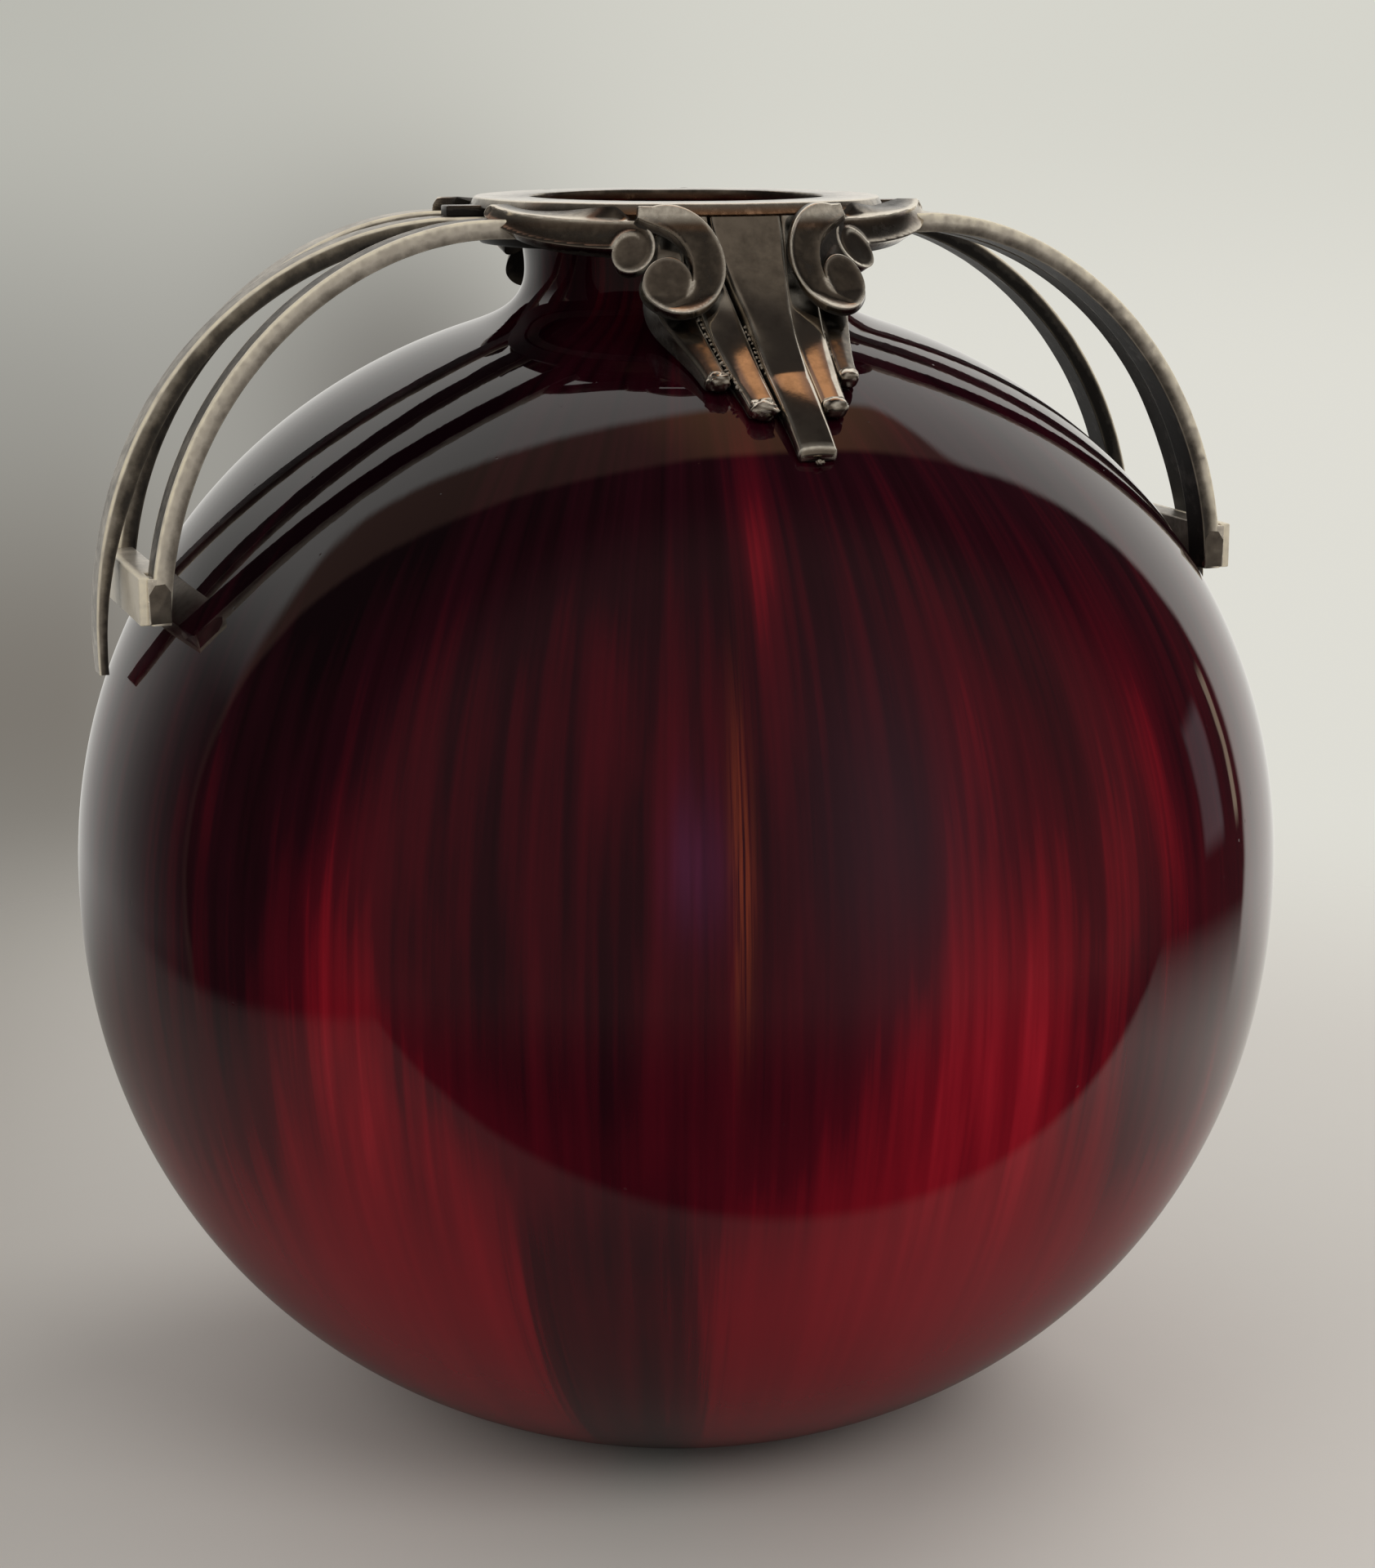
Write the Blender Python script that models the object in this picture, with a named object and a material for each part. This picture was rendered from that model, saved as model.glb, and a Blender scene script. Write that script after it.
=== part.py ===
"""Ball vase: a glazed ceramic ball with a soldered silver mount.

Metres, +Z up. The origin is on the floor under the middle of the ball. The front ornament faces -Y and the
handles stand at +X and -X. A rise is a height above the middle of the ball, and a drop one below the rim.
"""

import math

import bmesh
import bpy
from mathutils import Vector

# Ball and neck
BALL_RADIUS = 0.125
SHOULDER_RISE = 0.1182
SHOULDER_POWER = 2.07
BELLY_DROP = 0.1224
BELLY_POWER = 2.10
WALL = 0.006
FOOT_RADIUS = 0.038
FOOT_WIDTH = 0.011
FOOT_RECESS = 0.0025
NECK_RADIUS = 0.031
NECK_SPREAD = 0.013
NECK_HEIGHT = 0.0232
NECK_WAIST_SHARE = 0.505
NECK_WALL = 0.005
LIP_FLARE = 0.0015
NECK_UPPER_STIFFNESS = 0.45
NECK_LOWER_STIFFNESS = 0.42
THROAT_LEAN = 63.4
THROAT_STIFFNESS = 0.4

# Collar round the neck
RIM_THICKNESS = 0.0022
RIM_LIFT = 0.0007
RIM_OVERHANG = 0.0033
RIM_SPLAY = 0.0012
RIM_COVER = 0.0025
COLLAR_WALL = 0.0022
BEDDING = 0.0024
FLANGE_STEP = 0.0023
FLANGE_THICKNESS = 0.0018
LUG_LENGTH = 0.0078
LUG_WIDTH = 0.0048
LUG_DROP = 0.0014

# Handles
BAR_THICKNESS = 0.0032
BAR_WIDTH = 0.0064
BAR_CHAMFER = 0.0004
BAR_ROOT_DROP = 0.0035
HANDLE_WIDTH = 0.0484
SIDE_BAR_LEVEL = 0.006
SIDE_BAR_CROWN_RUN = 0.031
SIDE_BAR_CROWN_DROP = 0.004
SIDE_BAR_BELLY_LIFT = 0.0451
SIDE_BAR_FOOT_RISE = 0.0589
SIDE_BAR_STANDOFF = 0.0039
SIDE_BAR_TUCK = 0.0011
MIDDLE_BAR_LEVEL = 0.002
MIDDLE_BAR_CROWN_RUN = 0.0372
MIDDLE_BAR_CROWN_DROP = 0.0065
MIDDLE_BAR_BELLY_LIFT = 0.053
MIDDLE_BAR_TIP_RISE = 0.046
MIDDLE_BAR_STANDOFF = 0.0045
MIDDLE_BAR_TUCK = 0.004
BLOCK_HEIGHT = 0.0093
BAR_STATIONS = 16

# Flutes of the ornament, an apron that leans from the rim to the shoulder
APRON_TOP_LEAN = 26.6
APRON_FOOT_LEAN = 51.3
APRON_STIFFNESS = 0.29
APRON_BACK_STIFFNESS = 0.5
APRON_BEND_SHARE = 0.22
STRIP_LANDING = 0.018
STRIP_SEAT = 0.0006
CENTRE_REACH = 0.0411
CENTRE_TOP_WIDTH = 0.0112
CENTRE_MIDDLE_WIDTH = 0.0084
CENTRE_TOE_WIDTH = 0.0074
CENTRE_THICKNESS = 0.0037
CENTRE_TOE_THICKNESS = 0.0023
INNER_REACH = 0.0311
INNER_TOP_WIDTH = 0.0062
INNER_MIDDLE_WIDTH = 0.0070
INNER_TOE_WIDTH = 0.0054
INNER_DEPTH_SHARE = 0.78
OUTER_REACH = 0.0232
OUTER_TOP_WIDTH = 0.0041
OUTER_MIDDLE_WIDTH = 0.0068
OUTER_TOE_WIDTH = 0.0044
OUTER_DEPTH_SHARE = 0.66
FLUTE_DEPTH = 0.0009
FLUTE_FADE = 0.0022
FLUTE_POWER = 2.2
EDGE_SHARE = 0.06
EDGE_ROUND = 0.0004
TOE_ROUND = 0.0011
TOE_LEAST_SHARE = 0.5
STRIP_SPACE = 0.0004
APRON_STATIONS = 11
TOE_STATIONS = 7

# Scrolls and wings, laid out on a cylinder of this radius and leaning with the apron
LAYOUT_RADIUS = 0.048
SCROLL_PROUD = 0.0009
SCROLL_THINNEST = 0.0009
SCROLL_EYE_SIDE = 0.0172
SCROLL_EYE_RADIUS = 0.0044
SCROLL_HEIGHT = 0.0141
SCROLL_BAND = 0.0036
SCROLL_START_ANGLE = -14.0
SCROLL_OUTER_SWEEP = 220.0
SCROLL_INNER_SWEEP = 90.0
SCROLL_INNER_POWER = 1.6
SCROLL_DRAFT = 0.0016
SCROLL_DRAFT_LEAN = 20.4
WING_PROUD = 0.0017
WING_TIP_PROUD = 0.0078
WING_THICKNESS = 0.0041
WING_EYE_SIDE = 0.0245
WING_EYE_DROP = 0.0084
WING_EYE_RADIUS = 0.0036
WING_CROWN = 0.0052
WING_TIP_SIDE = 0.0562
WING_TIP_DROP = 0.0018
WING_TIP_HEIGHT = 0.0026
WING_SAG = 0.0016
WING_TIP_PULL = 0.2
WING_CROWN_PULL = 0.45
WING_HEEL_PULL = 0.3
WING_HEEL_SAG_SHARE = 0.2
WING_LOWER_PULL = 0.6
WING_LOWER_SAG_SHARE = 0.8
WING_UNDERCUT = 0.0018
ARRIS_WIDTH = 0.0007
ARRIS_DEPTH = 0.0006

# Solder gap between pieces that touch
GAP = 0.0003
TURN_STEPS = 48

# Radii and rises that follow from the sizes above
LIP_RADIUS = NECK_RADIUS + LIP_FLARE
NECK_FOOT_RADIUS = NECK_RADIUS + NECK_SPREAD
COLLAR_INNER = LIP_RADIUS + GAP + BEDDING + GAP
COLLAR_OUTER = COLLAR_INNER + COLLAR_WALL
FLANGE_RADIUS = COLLAR_OUTER + FLANGE_STEP
RIM_RADIUS = COLLAR_OUTER + RIM_OVERHANG
RIM_UNDER_RADIUS = RIM_RADIUS + RIM_SPLAY
RIM_MOUTH_RADIUS = LIP_RADIUS - RIM_COVER
LUG_REACH = RIM_RADIUS + LUG_LENGTH
STRIP_LANDS_RADIUS = FLANGE_RADIUS + STRIP_LANDING


def superellipse(across, radius, rise, power):
    """Height of a superelliptic profile at a distance from its axis."""
    return rise * (1.0 - (across / radius) ** power) ** (1.0 / power)


BALL_CENTRE_Z = superellipse(FOOT_RADIUS, BALL_RADIUS, BELLY_DROP, BELLY_POWER)
LIP_RISE = superellipse(NECK_FOOT_RADIUS, BALL_RADIUS, SHOULDER_RISE, SHOULDER_POWER) + NECK_HEIGHT
RIM_UNDER_RISE = LIP_RISE + RIM_LIFT
RIM_RISE = RIM_UNDER_RISE + RIM_THICKNESS
MIDDLE_ROOT_DROP = LUG_DROP + RIM_THICKNESS + GAP
FLANGE_TOP = RIM_RISE - max(BAR_ROOT_DROP, MIDDLE_ROOT_DROP) - BAR_THICKNESS - GAP
FLANGE_BOTTOM = FLANGE_TOP - FLANGE_THICKNESS


def clear_scene():
    for item in list(bpy.data.objects):
        bpy.data.objects.remove(item, do_unlink=True)


def make_material(name, colour, roughness, metallic):
    material = bpy.data.materials.new(name)
    material.use_nodes = True
    shader = material.node_tree.nodes["Principled BSDF"]
    shader.inputs["Base Color"].default_value = (*colour, 1.0)
    shader.inputs["Roughness"].default_value = roughness
    shader.inputs["Metallic"].default_value = metallic
    material.diffuse_color = (*colour, 1.0)
    return material


def add_object(name, mesh, material):
    item = bpy.data.objects.new(name, mesh)
    bpy.context.scene.collection.objects.link(item)
    if material is not None and not mesh.materials:
        mesh.materials.append(material)
    return item


def finish_mesh(name, bm, smooth_angle=35.0):
    bm.normal_update()
    bmesh.ops.recalc_face_normals(bm, faces=bm.faces)
    if bm.calc_volume(signed=True) < 0:
        bmesh.ops.reverse_faces(bm, faces=bm.faces)
    mesh = bpy.data.meshes.new(name)
    bm.to_mesh(mesh)
    bm.free()
    mesh.shade_smooth()
    mesh.set_sharp_from_angle(angle=math.radians(smooth_angle))
    return mesh


def bezier(start, first, second, end, share):
    rest = 1.0 - share
    weights = (rest ** 3, 3 * rest * rest * share, 3 * rest * share * share, share ** 3)
    points = (start, first, second, end)
    return tuple(sum(w * p[axis] for w, p in zip(weights, points)) for axis in (0, 1))


def shares(count):
    return [step / count for step in range(count + 1)]


def smooth_step(share):
    return share * share * (3.0 - 2.0 * share)


def ball_height(radius):
    """Rise of the shoulder at a radius."""
    return superellipse(radius, BALL_RADIUS, SHOULDER_RISE, SHOULDER_POWER)


def ball_slope(radius):
    scale = (SHOULDER_RISE / BALL_RADIUS) ** SHOULDER_POWER
    return -scale * (radius / ball_height(radius)) ** (SHOULDER_POWER - 1.0)


def ball_normal(radius):
    slope = ball_slope(radius)
    return Vector((-slope, 1.0)).normalized()


def ball_radius_at(rise):
    return superellipse(rise, SHOULDER_RISE, BALL_RADIUS, SHOULDER_POWER)


def turn_profile(name, profile, material, closed):
    """Turn a profile of (radius, rise) points round Z with a Screw modifier."""
    bm = bmesh.new()
    verts = [bm.verts.new((radius, 0.0, BALL_CENTRE_Z + rise)) for radius, rise in profile]
    for first, second in zip(verts, verts[1:]):
        bm.edges.new((first, second))
    if closed:
        bm.edges.new((verts[-1], verts[0]))
    mesh = bpy.data.meshes.new(name)
    bm.to_mesh(mesh)
    bm.free()
    item = add_object(name, mesh, material)
    screw = item.modifiers.new("Turn", "SCREW")
    screw.axis = "Z"
    screw.steps = TURN_STEPS
    screw.render_steps = TURN_STEPS
    screw.use_merge_vertices = True
    screw.merge_threshold = 0.00001
    screw.use_smooth_shade = True
    return item


def curve_from(start, start_way, end, end_way, stiffness, count):
    """Bent line between two points, leaving along one direction and arriving along another."""
    reach = stiffness * math.hypot(end[0] - start[0], end[1] - start[1])
    first = (start[0] + reach * start_way[0], start[1] + reach * start_way[1])
    second = (end[0] - reach * end_way[0], end[1] - reach * end_way[1])
    return [bezier(start, first, second, end, share) for share in shares(count)]


def quarter(radius, rise, power, start, end, count):
    """Points of a superelliptic quarter between two angles from the axis."""
    points = []
    for share in shares(count):
        angle = start + (end - start) * share
        points.append((radius * abs(math.sin(angle)) ** (2.0 / power),
                       rise * abs(math.cos(angle)) ** (2.0 / power)))
    return points


def body_outer_profile():
    """Outer side of the ball from the lip down to the foot."""
    neck_foot = (NECK_FOOT_RADIUS, ball_height(NECK_FOOT_RADIUS))
    waist = (NECK_RADIUS, neck_foot[1] + NECK_WAIST_SHARE * NECK_HEIGHT)
    along_ball = ball_normal(NECK_FOOT_RADIUS)
    down = (0.0, -1.0)
    upper = curve_from((LIP_RADIUS, LIP_RISE), down, waist, down, NECK_UPPER_STIFFNESS, 5)
    lower = curve_from(waist, down, neck_foot, (along_ball.y, -along_ball.x), NECK_LOWER_STIFFNESS, 7)
    start = math.asin((NECK_FOOT_RADIUS / BALL_RADIUS) ** (SHOULDER_POWER / 2.0))
    end = math.asin((FOOT_RADIUS / BALL_RADIUS) ** (BELLY_POWER / 2.0))
    shoulder = quarter(BALL_RADIUS, SHOULDER_RISE, SHOULDER_POWER, start, math.pi / 2, 11)
    belly = quarter(BALL_RADIUS, -BELLY_DROP, BELLY_POWER, math.pi / 2, math.pi - end, 11)
    return upper + lower[1:] + shoulder[1:] + belly[1:]


def body_inner_profile():
    """Inside of the ball from the middle of its floor up to the mouth."""
    inner_radius = BALL_RADIUS - WALL
    inner_drop = BALL_CENTRE_Z - WALL - FOOT_RECESS
    end = math.asin((NECK_FOOT_RADIUS / inner_radius) ** (SHOULDER_POWER / 2.0))
    floor = quarter(inner_radius, -inner_drop, BELLY_POWER, 0.0, math.pi / 2, 9)
    vault = quarter(inner_radius, SHOULDER_RISE - WALL, SHOULDER_POWER, math.pi / 2, end, 8)
    spring = vault[-1]
    waist_rise = ball_height(NECK_FOOT_RADIUS) + NECK_WAIST_SHARE * NECK_HEIGHT
    throat = (NECK_RADIUS - NECK_WALL, waist_rise)
    lean = math.radians(THROAT_LEAN)
    neck = curve_from(spring, (-math.sin(lean), math.cos(lean)), throat, (0.0, 1.0), THROAT_STIFFNESS, 4)
    return floor + vault[1:] + neck[1:] + [(LIP_RADIUS - NECK_WALL, LIP_RISE)]


def make_body(material):
    base = -BALL_CENTRE_Z
    foot = [(FOOT_RADIUS - FOOT_WIDTH, base), (FOOT_RADIUS - FOOT_WIDTH - FOOT_RECESS, base + FOOT_RECESS),
            (0.0, base + FOOT_RECESS)]
    profile = body_inner_profile() + body_outer_profile() + foot
    return turn_profile("ceramic_body", profile, material, closed=False)


def make_collar(material):
    """Spool round the neck: rim plate, wall and lower flange, with a lug on each side."""
    profile = [
        (RIM_MOUTH_RADIUS, RIM_RISE),
        (RIM_RADIUS, RIM_RISE),
        (RIM_UNDER_RADIUS, RIM_UNDER_RISE),
        (COLLAR_OUTER, RIM_UNDER_RISE),
        (COLLAR_OUTER, FLANGE_TOP),
        (FLANGE_RADIUS, FLANGE_TOP),
        (FLANGE_RADIUS, FLANGE_BOTTOM),
        (COLLAR_INNER, FLANGE_BOTTOM),
        (COLLAR_INNER, RIM_UNDER_RISE),
        (RIM_MOUTH_RADIUS, RIM_UNDER_RISE),
    ]
    collar = turn_profile("collar", profile, material, closed=True)
    lug_start = 0.5 * (COLLAR_OUTER + FLANGE_RADIUS)
    for hand, side in (("right", 1), ("left", -1)):
        middle = Vector((side * 0.5 * (lug_start + LUG_REACH), 0.0,
                         BALL_CENTRE_Z + RIM_RISE - LUG_DROP - 0.5 * RIM_THICKNESS))
        size = Vector((LUG_REACH - lug_start, LUG_WIDTH, RIM_THICKNESS))
        union = collar.modifiers.new("Lug", "BOOLEAN")
        union.operation = "UNION"
        union.object = add_box("lug_tool_" + hand, middle, size)
    return collar


def add_box(name, middle, size):
    """Box used only by a Boolean modifier."""
    bm = bmesh.new()
    bmesh.ops.create_cube(bm, size=1.0)
    bmesh.ops.scale(bm, vec=size, verts=bm.verts)
    bmesh.ops.translate(bm, vec=middle, verts=bm.verts)
    mesh = bpy.data.meshes.new(name)
    bm.to_mesh(mesh)
    bm.free()
    box = add_object(name, mesh, None)
    box.hide_render = True
    box.display_type = "WIRE"
    return box


def make_bedding(material):
    top = RIM_UNDER_RISE - GAP
    inner = LIP_RADIUS + GAP
    outer = COLLAR_INNER - GAP
    profile = [(inner, top), (outer, top), (outer, FLANGE_BOTTOM), (inner, FLANGE_BOTTOM)]
    return turn_profile("bedding_ring", profile, material, closed=True)


def loft(name, rings):
    """Skin a list of closed rings and cap both ends."""
    bm = bmesh.new()
    rows = [[bm.verts.new(point) for point in ring] for ring in rings]
    count = len(rows[0])
    for lower, upper in zip(rows, rows[1:]):
        for index in range(count):
            following = (index + 1) % count
            bm.faces.new((lower[index], lower[following], upper[following], upper[index]))
    bm.faces.new(rows[0][::-1])
    bm.faces.new(rows[-1])
    bmesh.ops.triangulate(bm, faces=[face for face in bm.faces if len(face.verts) > 4])
    return finish_mesh(name, bm)


def bar_section(middle, normal):
    """Chamfered rectangle across a bar, with its outer face on the middle point."""
    half = 0.5 * BAR_WIDTH
    cut = BAR_CHAMFER
    corners = ((-half + cut, 0.0), (half - cut, 0.0), (half, -cut), (half, -BAR_THICKNESS + cut),
               (half - cut, -BAR_THICKNESS), (-half + cut, -BAR_THICKNESS), (-half, -BAR_THICKNESS + cut),
               (-half, -cut))
    return [(middle[0] + normal[0] * depth, middle[1] + across, middle[2] + normal[1] * depth)
            for across, depth in corners]


def bar_path(root, spring, crown, belly, foot):
    """Outer edge of a bar in its own plane: a level root, then one bent curve down to its foot."""
    return [root] + [bezier(spring, crown, belly, foot, share) for share in shares(BAR_STATIONS)]


def make_bar_mesh(name, path, across):
    rings = []
    for index, point in enumerate(path):
        before = path[max(index - 1, 0)]
        after = path[min(index + 1, len(path) - 1)]
        along = Vector((after[0] - before[0], after[1] - before[1])).normalized()
        if index == 0:
            along = Vector((1.0, 0.0))
        if index == len(path) - 1:
            along = Vector((0.0, -1.0))
        normal = (-along.y, along.x)
        middle = (point[0], across, point[1] + BALL_CENTRE_Z)
        rings.append(bar_section(middle, normal))
    return loft(name, rings)


def side_bar_path():
    near = 0.5 * HANDLE_WIDTH - BAR_WIDTH
    root_x = math.sqrt((COLLAR_OUTER + GAP) ** 2 - near ** 2)
    top = RIM_RISE - BAR_ROOT_DROP
    spring = FLANGE_RADIUS + SIDE_BAR_LEVEL
    foot = ball_radius_at(SIDE_BAR_FOOT_RISE) + SIDE_BAR_STANDOFF
    return bar_path((root_x, top), (spring, top),
                    (spring + SIDE_BAR_CROWN_RUN, RIM_RISE - SIDE_BAR_CROWN_DROP),
                    (foot - SIDE_BAR_TUCK, SIDE_BAR_FOOT_RISE + SIDE_BAR_BELLY_LIFT),
                    (foot, SIDE_BAR_FOOT_RISE))


def middle_bar_path():
    top = RIM_RISE - MIDDLE_ROOT_DROP
    spring = LUG_REACH + MIDDLE_BAR_LEVEL
    tip = ball_radius_at(MIDDLE_BAR_TIP_RISE) + MIDDLE_BAR_STANDOFF
    return bar_path((COLLAR_OUTER + GAP, top), (spring, top),
                    (spring + MIDDLE_BAR_CROWN_RUN, RIM_RISE - MIDDLE_BAR_CROWN_DROP),
                    (tip + MIDDLE_BAR_TUCK, MIDDLE_BAR_TIP_RISE + MIDDLE_BAR_BELLY_LIFT),
                    (tip, MIDDLE_BAR_TIP_RISE))


def path_x_range(path, low, high):
    """Least and greatest x of a path between two heights."""
    found = []
    for first, second in zip(path, path[1:]):
        for share in shares(8):
            height = first[1] + (second[1] - first[1]) * share
            if low <= height <= high:
                found.append(first[0] + (second[0] - first[0]) * share)
    return min(found), max(found)


def make_block_mesh(name):
    """Cross block: a straight bar outside the side bars and inside the middle bar."""
    low = SIDE_BAR_FOOT_RISE
    high = low + BLOCK_HEIGHT
    side_outer = path_x_range(side_bar_path(), low, high)
    middle_outer = path_x_range(middle_bar_path(), low, high)
    outer = middle_outer[0] - BAR_THICKNESS - 2 * GAP
    back = side_outer[1] + GAP
    between = 0.5 * HANDLE_WIDTH - BAR_WIDTH - GAP
    inner = max(ball_radius_at(low) + GAP, side_outer[0] - BAR_THICKNESS)
    half = 0.5 * HANDLE_WIDTH
    outline = [(outer, -half), (outer, half), (back, half), (back, between), (inner, between),
               (inner, -between), (back, -between), (back, -half)]
    bm = bmesh.new()
    face = bm.faces.new([bm.verts.new((x, y, low + BALL_CENTRE_Z)) for x, y in outline])
    raised = bmesh.ops.extrude_face_region(bm, geom=[face])
    top = [part for part in raised["geom"] if isinstance(part, bmesh.types.BMVert)]
    bmesh.ops.translate(bm, vec=(0.0, 0.0, BLOCK_HEIGHT), verts=top)
    return finish_mesh(name, bm)


def make_handles(material):
    side_mesh = {}
    offset = 0.5 * (HANDLE_WIDTH - BAR_WIDTH)
    for place, across in (("front", -offset), ("rear", offset)):
        side_mesh[place] = make_bar_mesh("side_bar_" + place, side_bar_path(), across)
    middle_mesh = make_bar_mesh("middle_bar", middle_bar_path(), 0.0)
    block_mesh = make_block_mesh("cross_block")
    half_turn = (0.0, 0.0, math.pi)
    other = {"front": "rear", "rear": "front"}
    for place in ("front", "rear"):
        add_object("right_%s_bar" % place, side_mesh[place], material)
        add_object("left_%s_bar" % other[place], side_mesh[place], material).rotation_euler = half_turn
    add_object("right_middle_bar", middle_mesh, material)
    add_object("left_middle_bar", middle_mesh, material).rotation_euler = half_turn
    add_object("right_cross_block", block_mesh, material)
    add_object("left_cross_block", block_mesh, material).rotation_euler = half_turn


def lean_way(degrees):
    """Direction out and down at an angle from straight down."""
    return (math.sin(math.radians(degrees)), -math.cos(math.radians(degrees)))


def apron_sections():
    """Back and face of the middle flute as pairs of (radius, rise), from the rim to its toe."""
    seat = FLANGE_RADIUS + GAP
    top = RIM_UNDER_RISE - GAP
    landing = seat_on_ball(STRIP_LANDS_RADIUS)
    normal = ball_normal(STRIP_LANDS_RADIUS)
    face_end = (landing[0] + CENTRE_THICKNESS * normal.x, landing[1] + CENTRE_THICKNESS * normal.y)
    faces = curve_from((RIM_UNDER_RADIUS, top), lean_way(APRON_TOP_LEAN), face_end, lean_way(APRON_FOOT_LEAN),
                       APRON_STIFFNESS, APRON_STATIONS)
    straight = round(APRON_BEND_SHARE * APRON_STATIONS)
    backs = [(seat, top + (FLANGE_BOTTOM - top) * share) for share in shares(straight)]
    backs += curve_from((seat, FLANGE_BOTTOM), (0.0, -1.0), landing, (normal.y, -normal.x),
                        APRON_BACK_STIFFNESS, APRON_STATIONS - straight)[1:]
    sections = list(zip(backs, faces))
    toe_radius = FLANGE_RADIUS + CENTRE_REACH
    for share in shares(TOE_STATIONS)[1:]:
        radius = STRIP_LANDS_RADIUS + (toe_radius - STRIP_LANDS_RADIUS) * share
        back = seat_on_ball(radius)
        normal = ball_normal(radius)
        depth = CENTRE_THICKNESS + (CENTRE_TOE_THICKNESS - CENTRE_THICKNESS) * share
        sections.append((back, (back[0] + depth * normal.x, back[1] + depth * normal.y)))
    return sections


def seat_on_ball(radius):
    normal = ball_normal(radius)
    return (radius + STRIP_SEAT * normal.x, ball_height(radius) + STRIP_SEAT * normal.y)


def mix(first, second, share):
    return tuple(a + (b - a) * share for a, b in zip(first, second))


def cut_sections(sections, toe_radius):
    """The part of the sections above a toe radius, with two close sections at the toe."""
    for index in range(len(sections) - 1):
        upper, lower = sections[index], sections[index + 1]
        if lower[0][0] >= toe_radius - EDGE_ROUND:
            share = min((toe_radius - upper[0][0]) / (lower[0][0] - upper[0][0]), 1.0)
            toe = (mix(upper[0], lower[0], share), mix(upper[1], lower[1], share))
            length = math.hypot(toe[0][0] - upper[0][0], toe[0][1] - upper[0][1])
            near = max(1.0 - TOE_ROUND / length, TOE_LEAST_SHARE)
            shoulder = (mix(upper[0], toe[0], near), mix(upper[1], toe[1], near))
            return sections[:index + 1] + [shoulder, toe]
    return sections


def section_lengths(sections):
    lengths = [0.0]
    for first, second in zip(sections, sections[1:]):
        lengths.append(lengths[-1] + math.hypot(second[1][0] - first[1][0], second[1][1] - first[1][1]))
    return lengths


def strip_width(reach, widths, length):
    """Width of a flute at a length below the rim, from its widths at the top, half way and at its toe."""
    top, middle, toe = widths
    share = min(length / section_lengths(cut_sections(apron_sections(), FLANGE_RADIUS + reach))[-1], 1.0)
    if share < 0.5:
        return top + (middle - top) * smooth_step(2.0 * share)
    return middle + (toe - middle) * smooth_step(2.0 * share - 1.0)


def strip_limits(kind, length):
    """Lateral limits of a flute, right of the middle, at a length below the rim."""
    centre = strip_width(CENTRE_REACH, (CENTRE_TOP_WIDTH, CENTRE_MIDDLE_WIDTH, CENTRE_TOE_WIDTH), length)
    inner = strip_width(INNER_REACH, (INNER_TOP_WIDTH, INNER_MIDDLE_WIDTH, INNER_TOE_WIDTH), length)
    outer = strip_width(OUTER_REACH, (OUTER_TOP_WIDTH, OUTER_MIDDLE_WIDTH, OUTER_TOE_WIDTH), length)
    inner_start = 0.5 * centre + STRIP_SPACE
    outer_start = inner_start + inner + STRIP_SPACE
    limits = {"centre": (-0.5 * centre, 0.5 * centre), "inner": (inner_start, inner_start + inner),
              "outer": (outer_start, outer_start + outer)}
    return limits[kind]


def make_strip_mesh(name, kind, side, reach, depth_share):
    """One flute: hollow face between raised edges, with a blunt toe."""
    sections = cut_sections(apron_sections(), FLANGE_RADIUS + reach)
    lengths = section_lengths(sections)
    across = (0.0, EDGE_SHARE, 0.25, 0.5, 0.75, 1.0 - EDGE_SHARE, 1.0)
    back_across = (1.0, 0.5, 0.0)
    rings = []
    for index, ((back, face), length) in enumerate(zip(sections, lengths)):
        left, right = strip_limits(kind, length)
        depth = Vector(face) - Vector(back)
        top = depth.length * depth_share
        way = depth.normalized()
        fade = smooth_step(min((lengths[-1] - length) / FLUTE_FADE, 1.0))
        hollow = FLUTE_DEPTH * (fade if index else 0.0)
        if index == len(sections) - 1:
            top -= TOE_ROUND
            left, right = left + EDGE_ROUND, right - EDGE_ROUND
        ring = []
        for part in across:
            sink = hollow * (1.0 - abs(2.0 * part - 1.0) ** FLUTE_POWER)
            edge = EDGE_ROUND if part in (0.0, 1.0) else 0.0
            ring.append(strip_point(left + (right - left) * part, back, way, top - sink - edge))
        for part in back_across:
            ring.append(strip_point(left + (right - left) * part, back, way, 0.0))
        rings.append([(side * x, y, z) for x, y, z in ring])
    return loft(name, rings)


def strip_point(lateral, back, way, lift):
    """Point of a flute at a lateral place, lifted off its back."""
    reach = back[0] + way.x * lift
    depth = math.sqrt(reach * reach - lateral * lateral)
    return (lateral, -depth, BALL_CENTRE_Z + back[1] + way.y * lift)


def line_radius(points, rise):
    """Radius of a line of (radius, rise) points, listed downward, at a rise."""
    for upper, lower in zip(points, points[1:]):
        if lower[1] <= rise <= upper[1]:
            return mix(upper, lower, (upper[1] - rise) / (upper[1] - lower[1]))[0]
    return points[0][0] if rise > points[0][1] else points[-1][0]


def rim_edge():
    return [(RIM_RADIUS, RIM_RISE), (RIM_UNDER_RADIUS, RIM_UNDER_RISE)]


def apron_radius(rise):
    """Radius of the middle flute's face at a rise, carried on up the edge of the rim."""
    return line_radius(rim_edge() + [face for back, face in apron_sections()], rise)


def bed_radius(rise):
    """Radius of what a scroll lies on: the rim's edge, then the faces of the inner flutes."""
    bed = [mix(back, face, INNER_DEPTH_SHARE) for back, face in apron_sections()]
    return line_radius(rim_edge() + bed, rise)


def scroll_eye_rise():
    return RIM_RISE - SCROLL_HEIGHT


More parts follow.
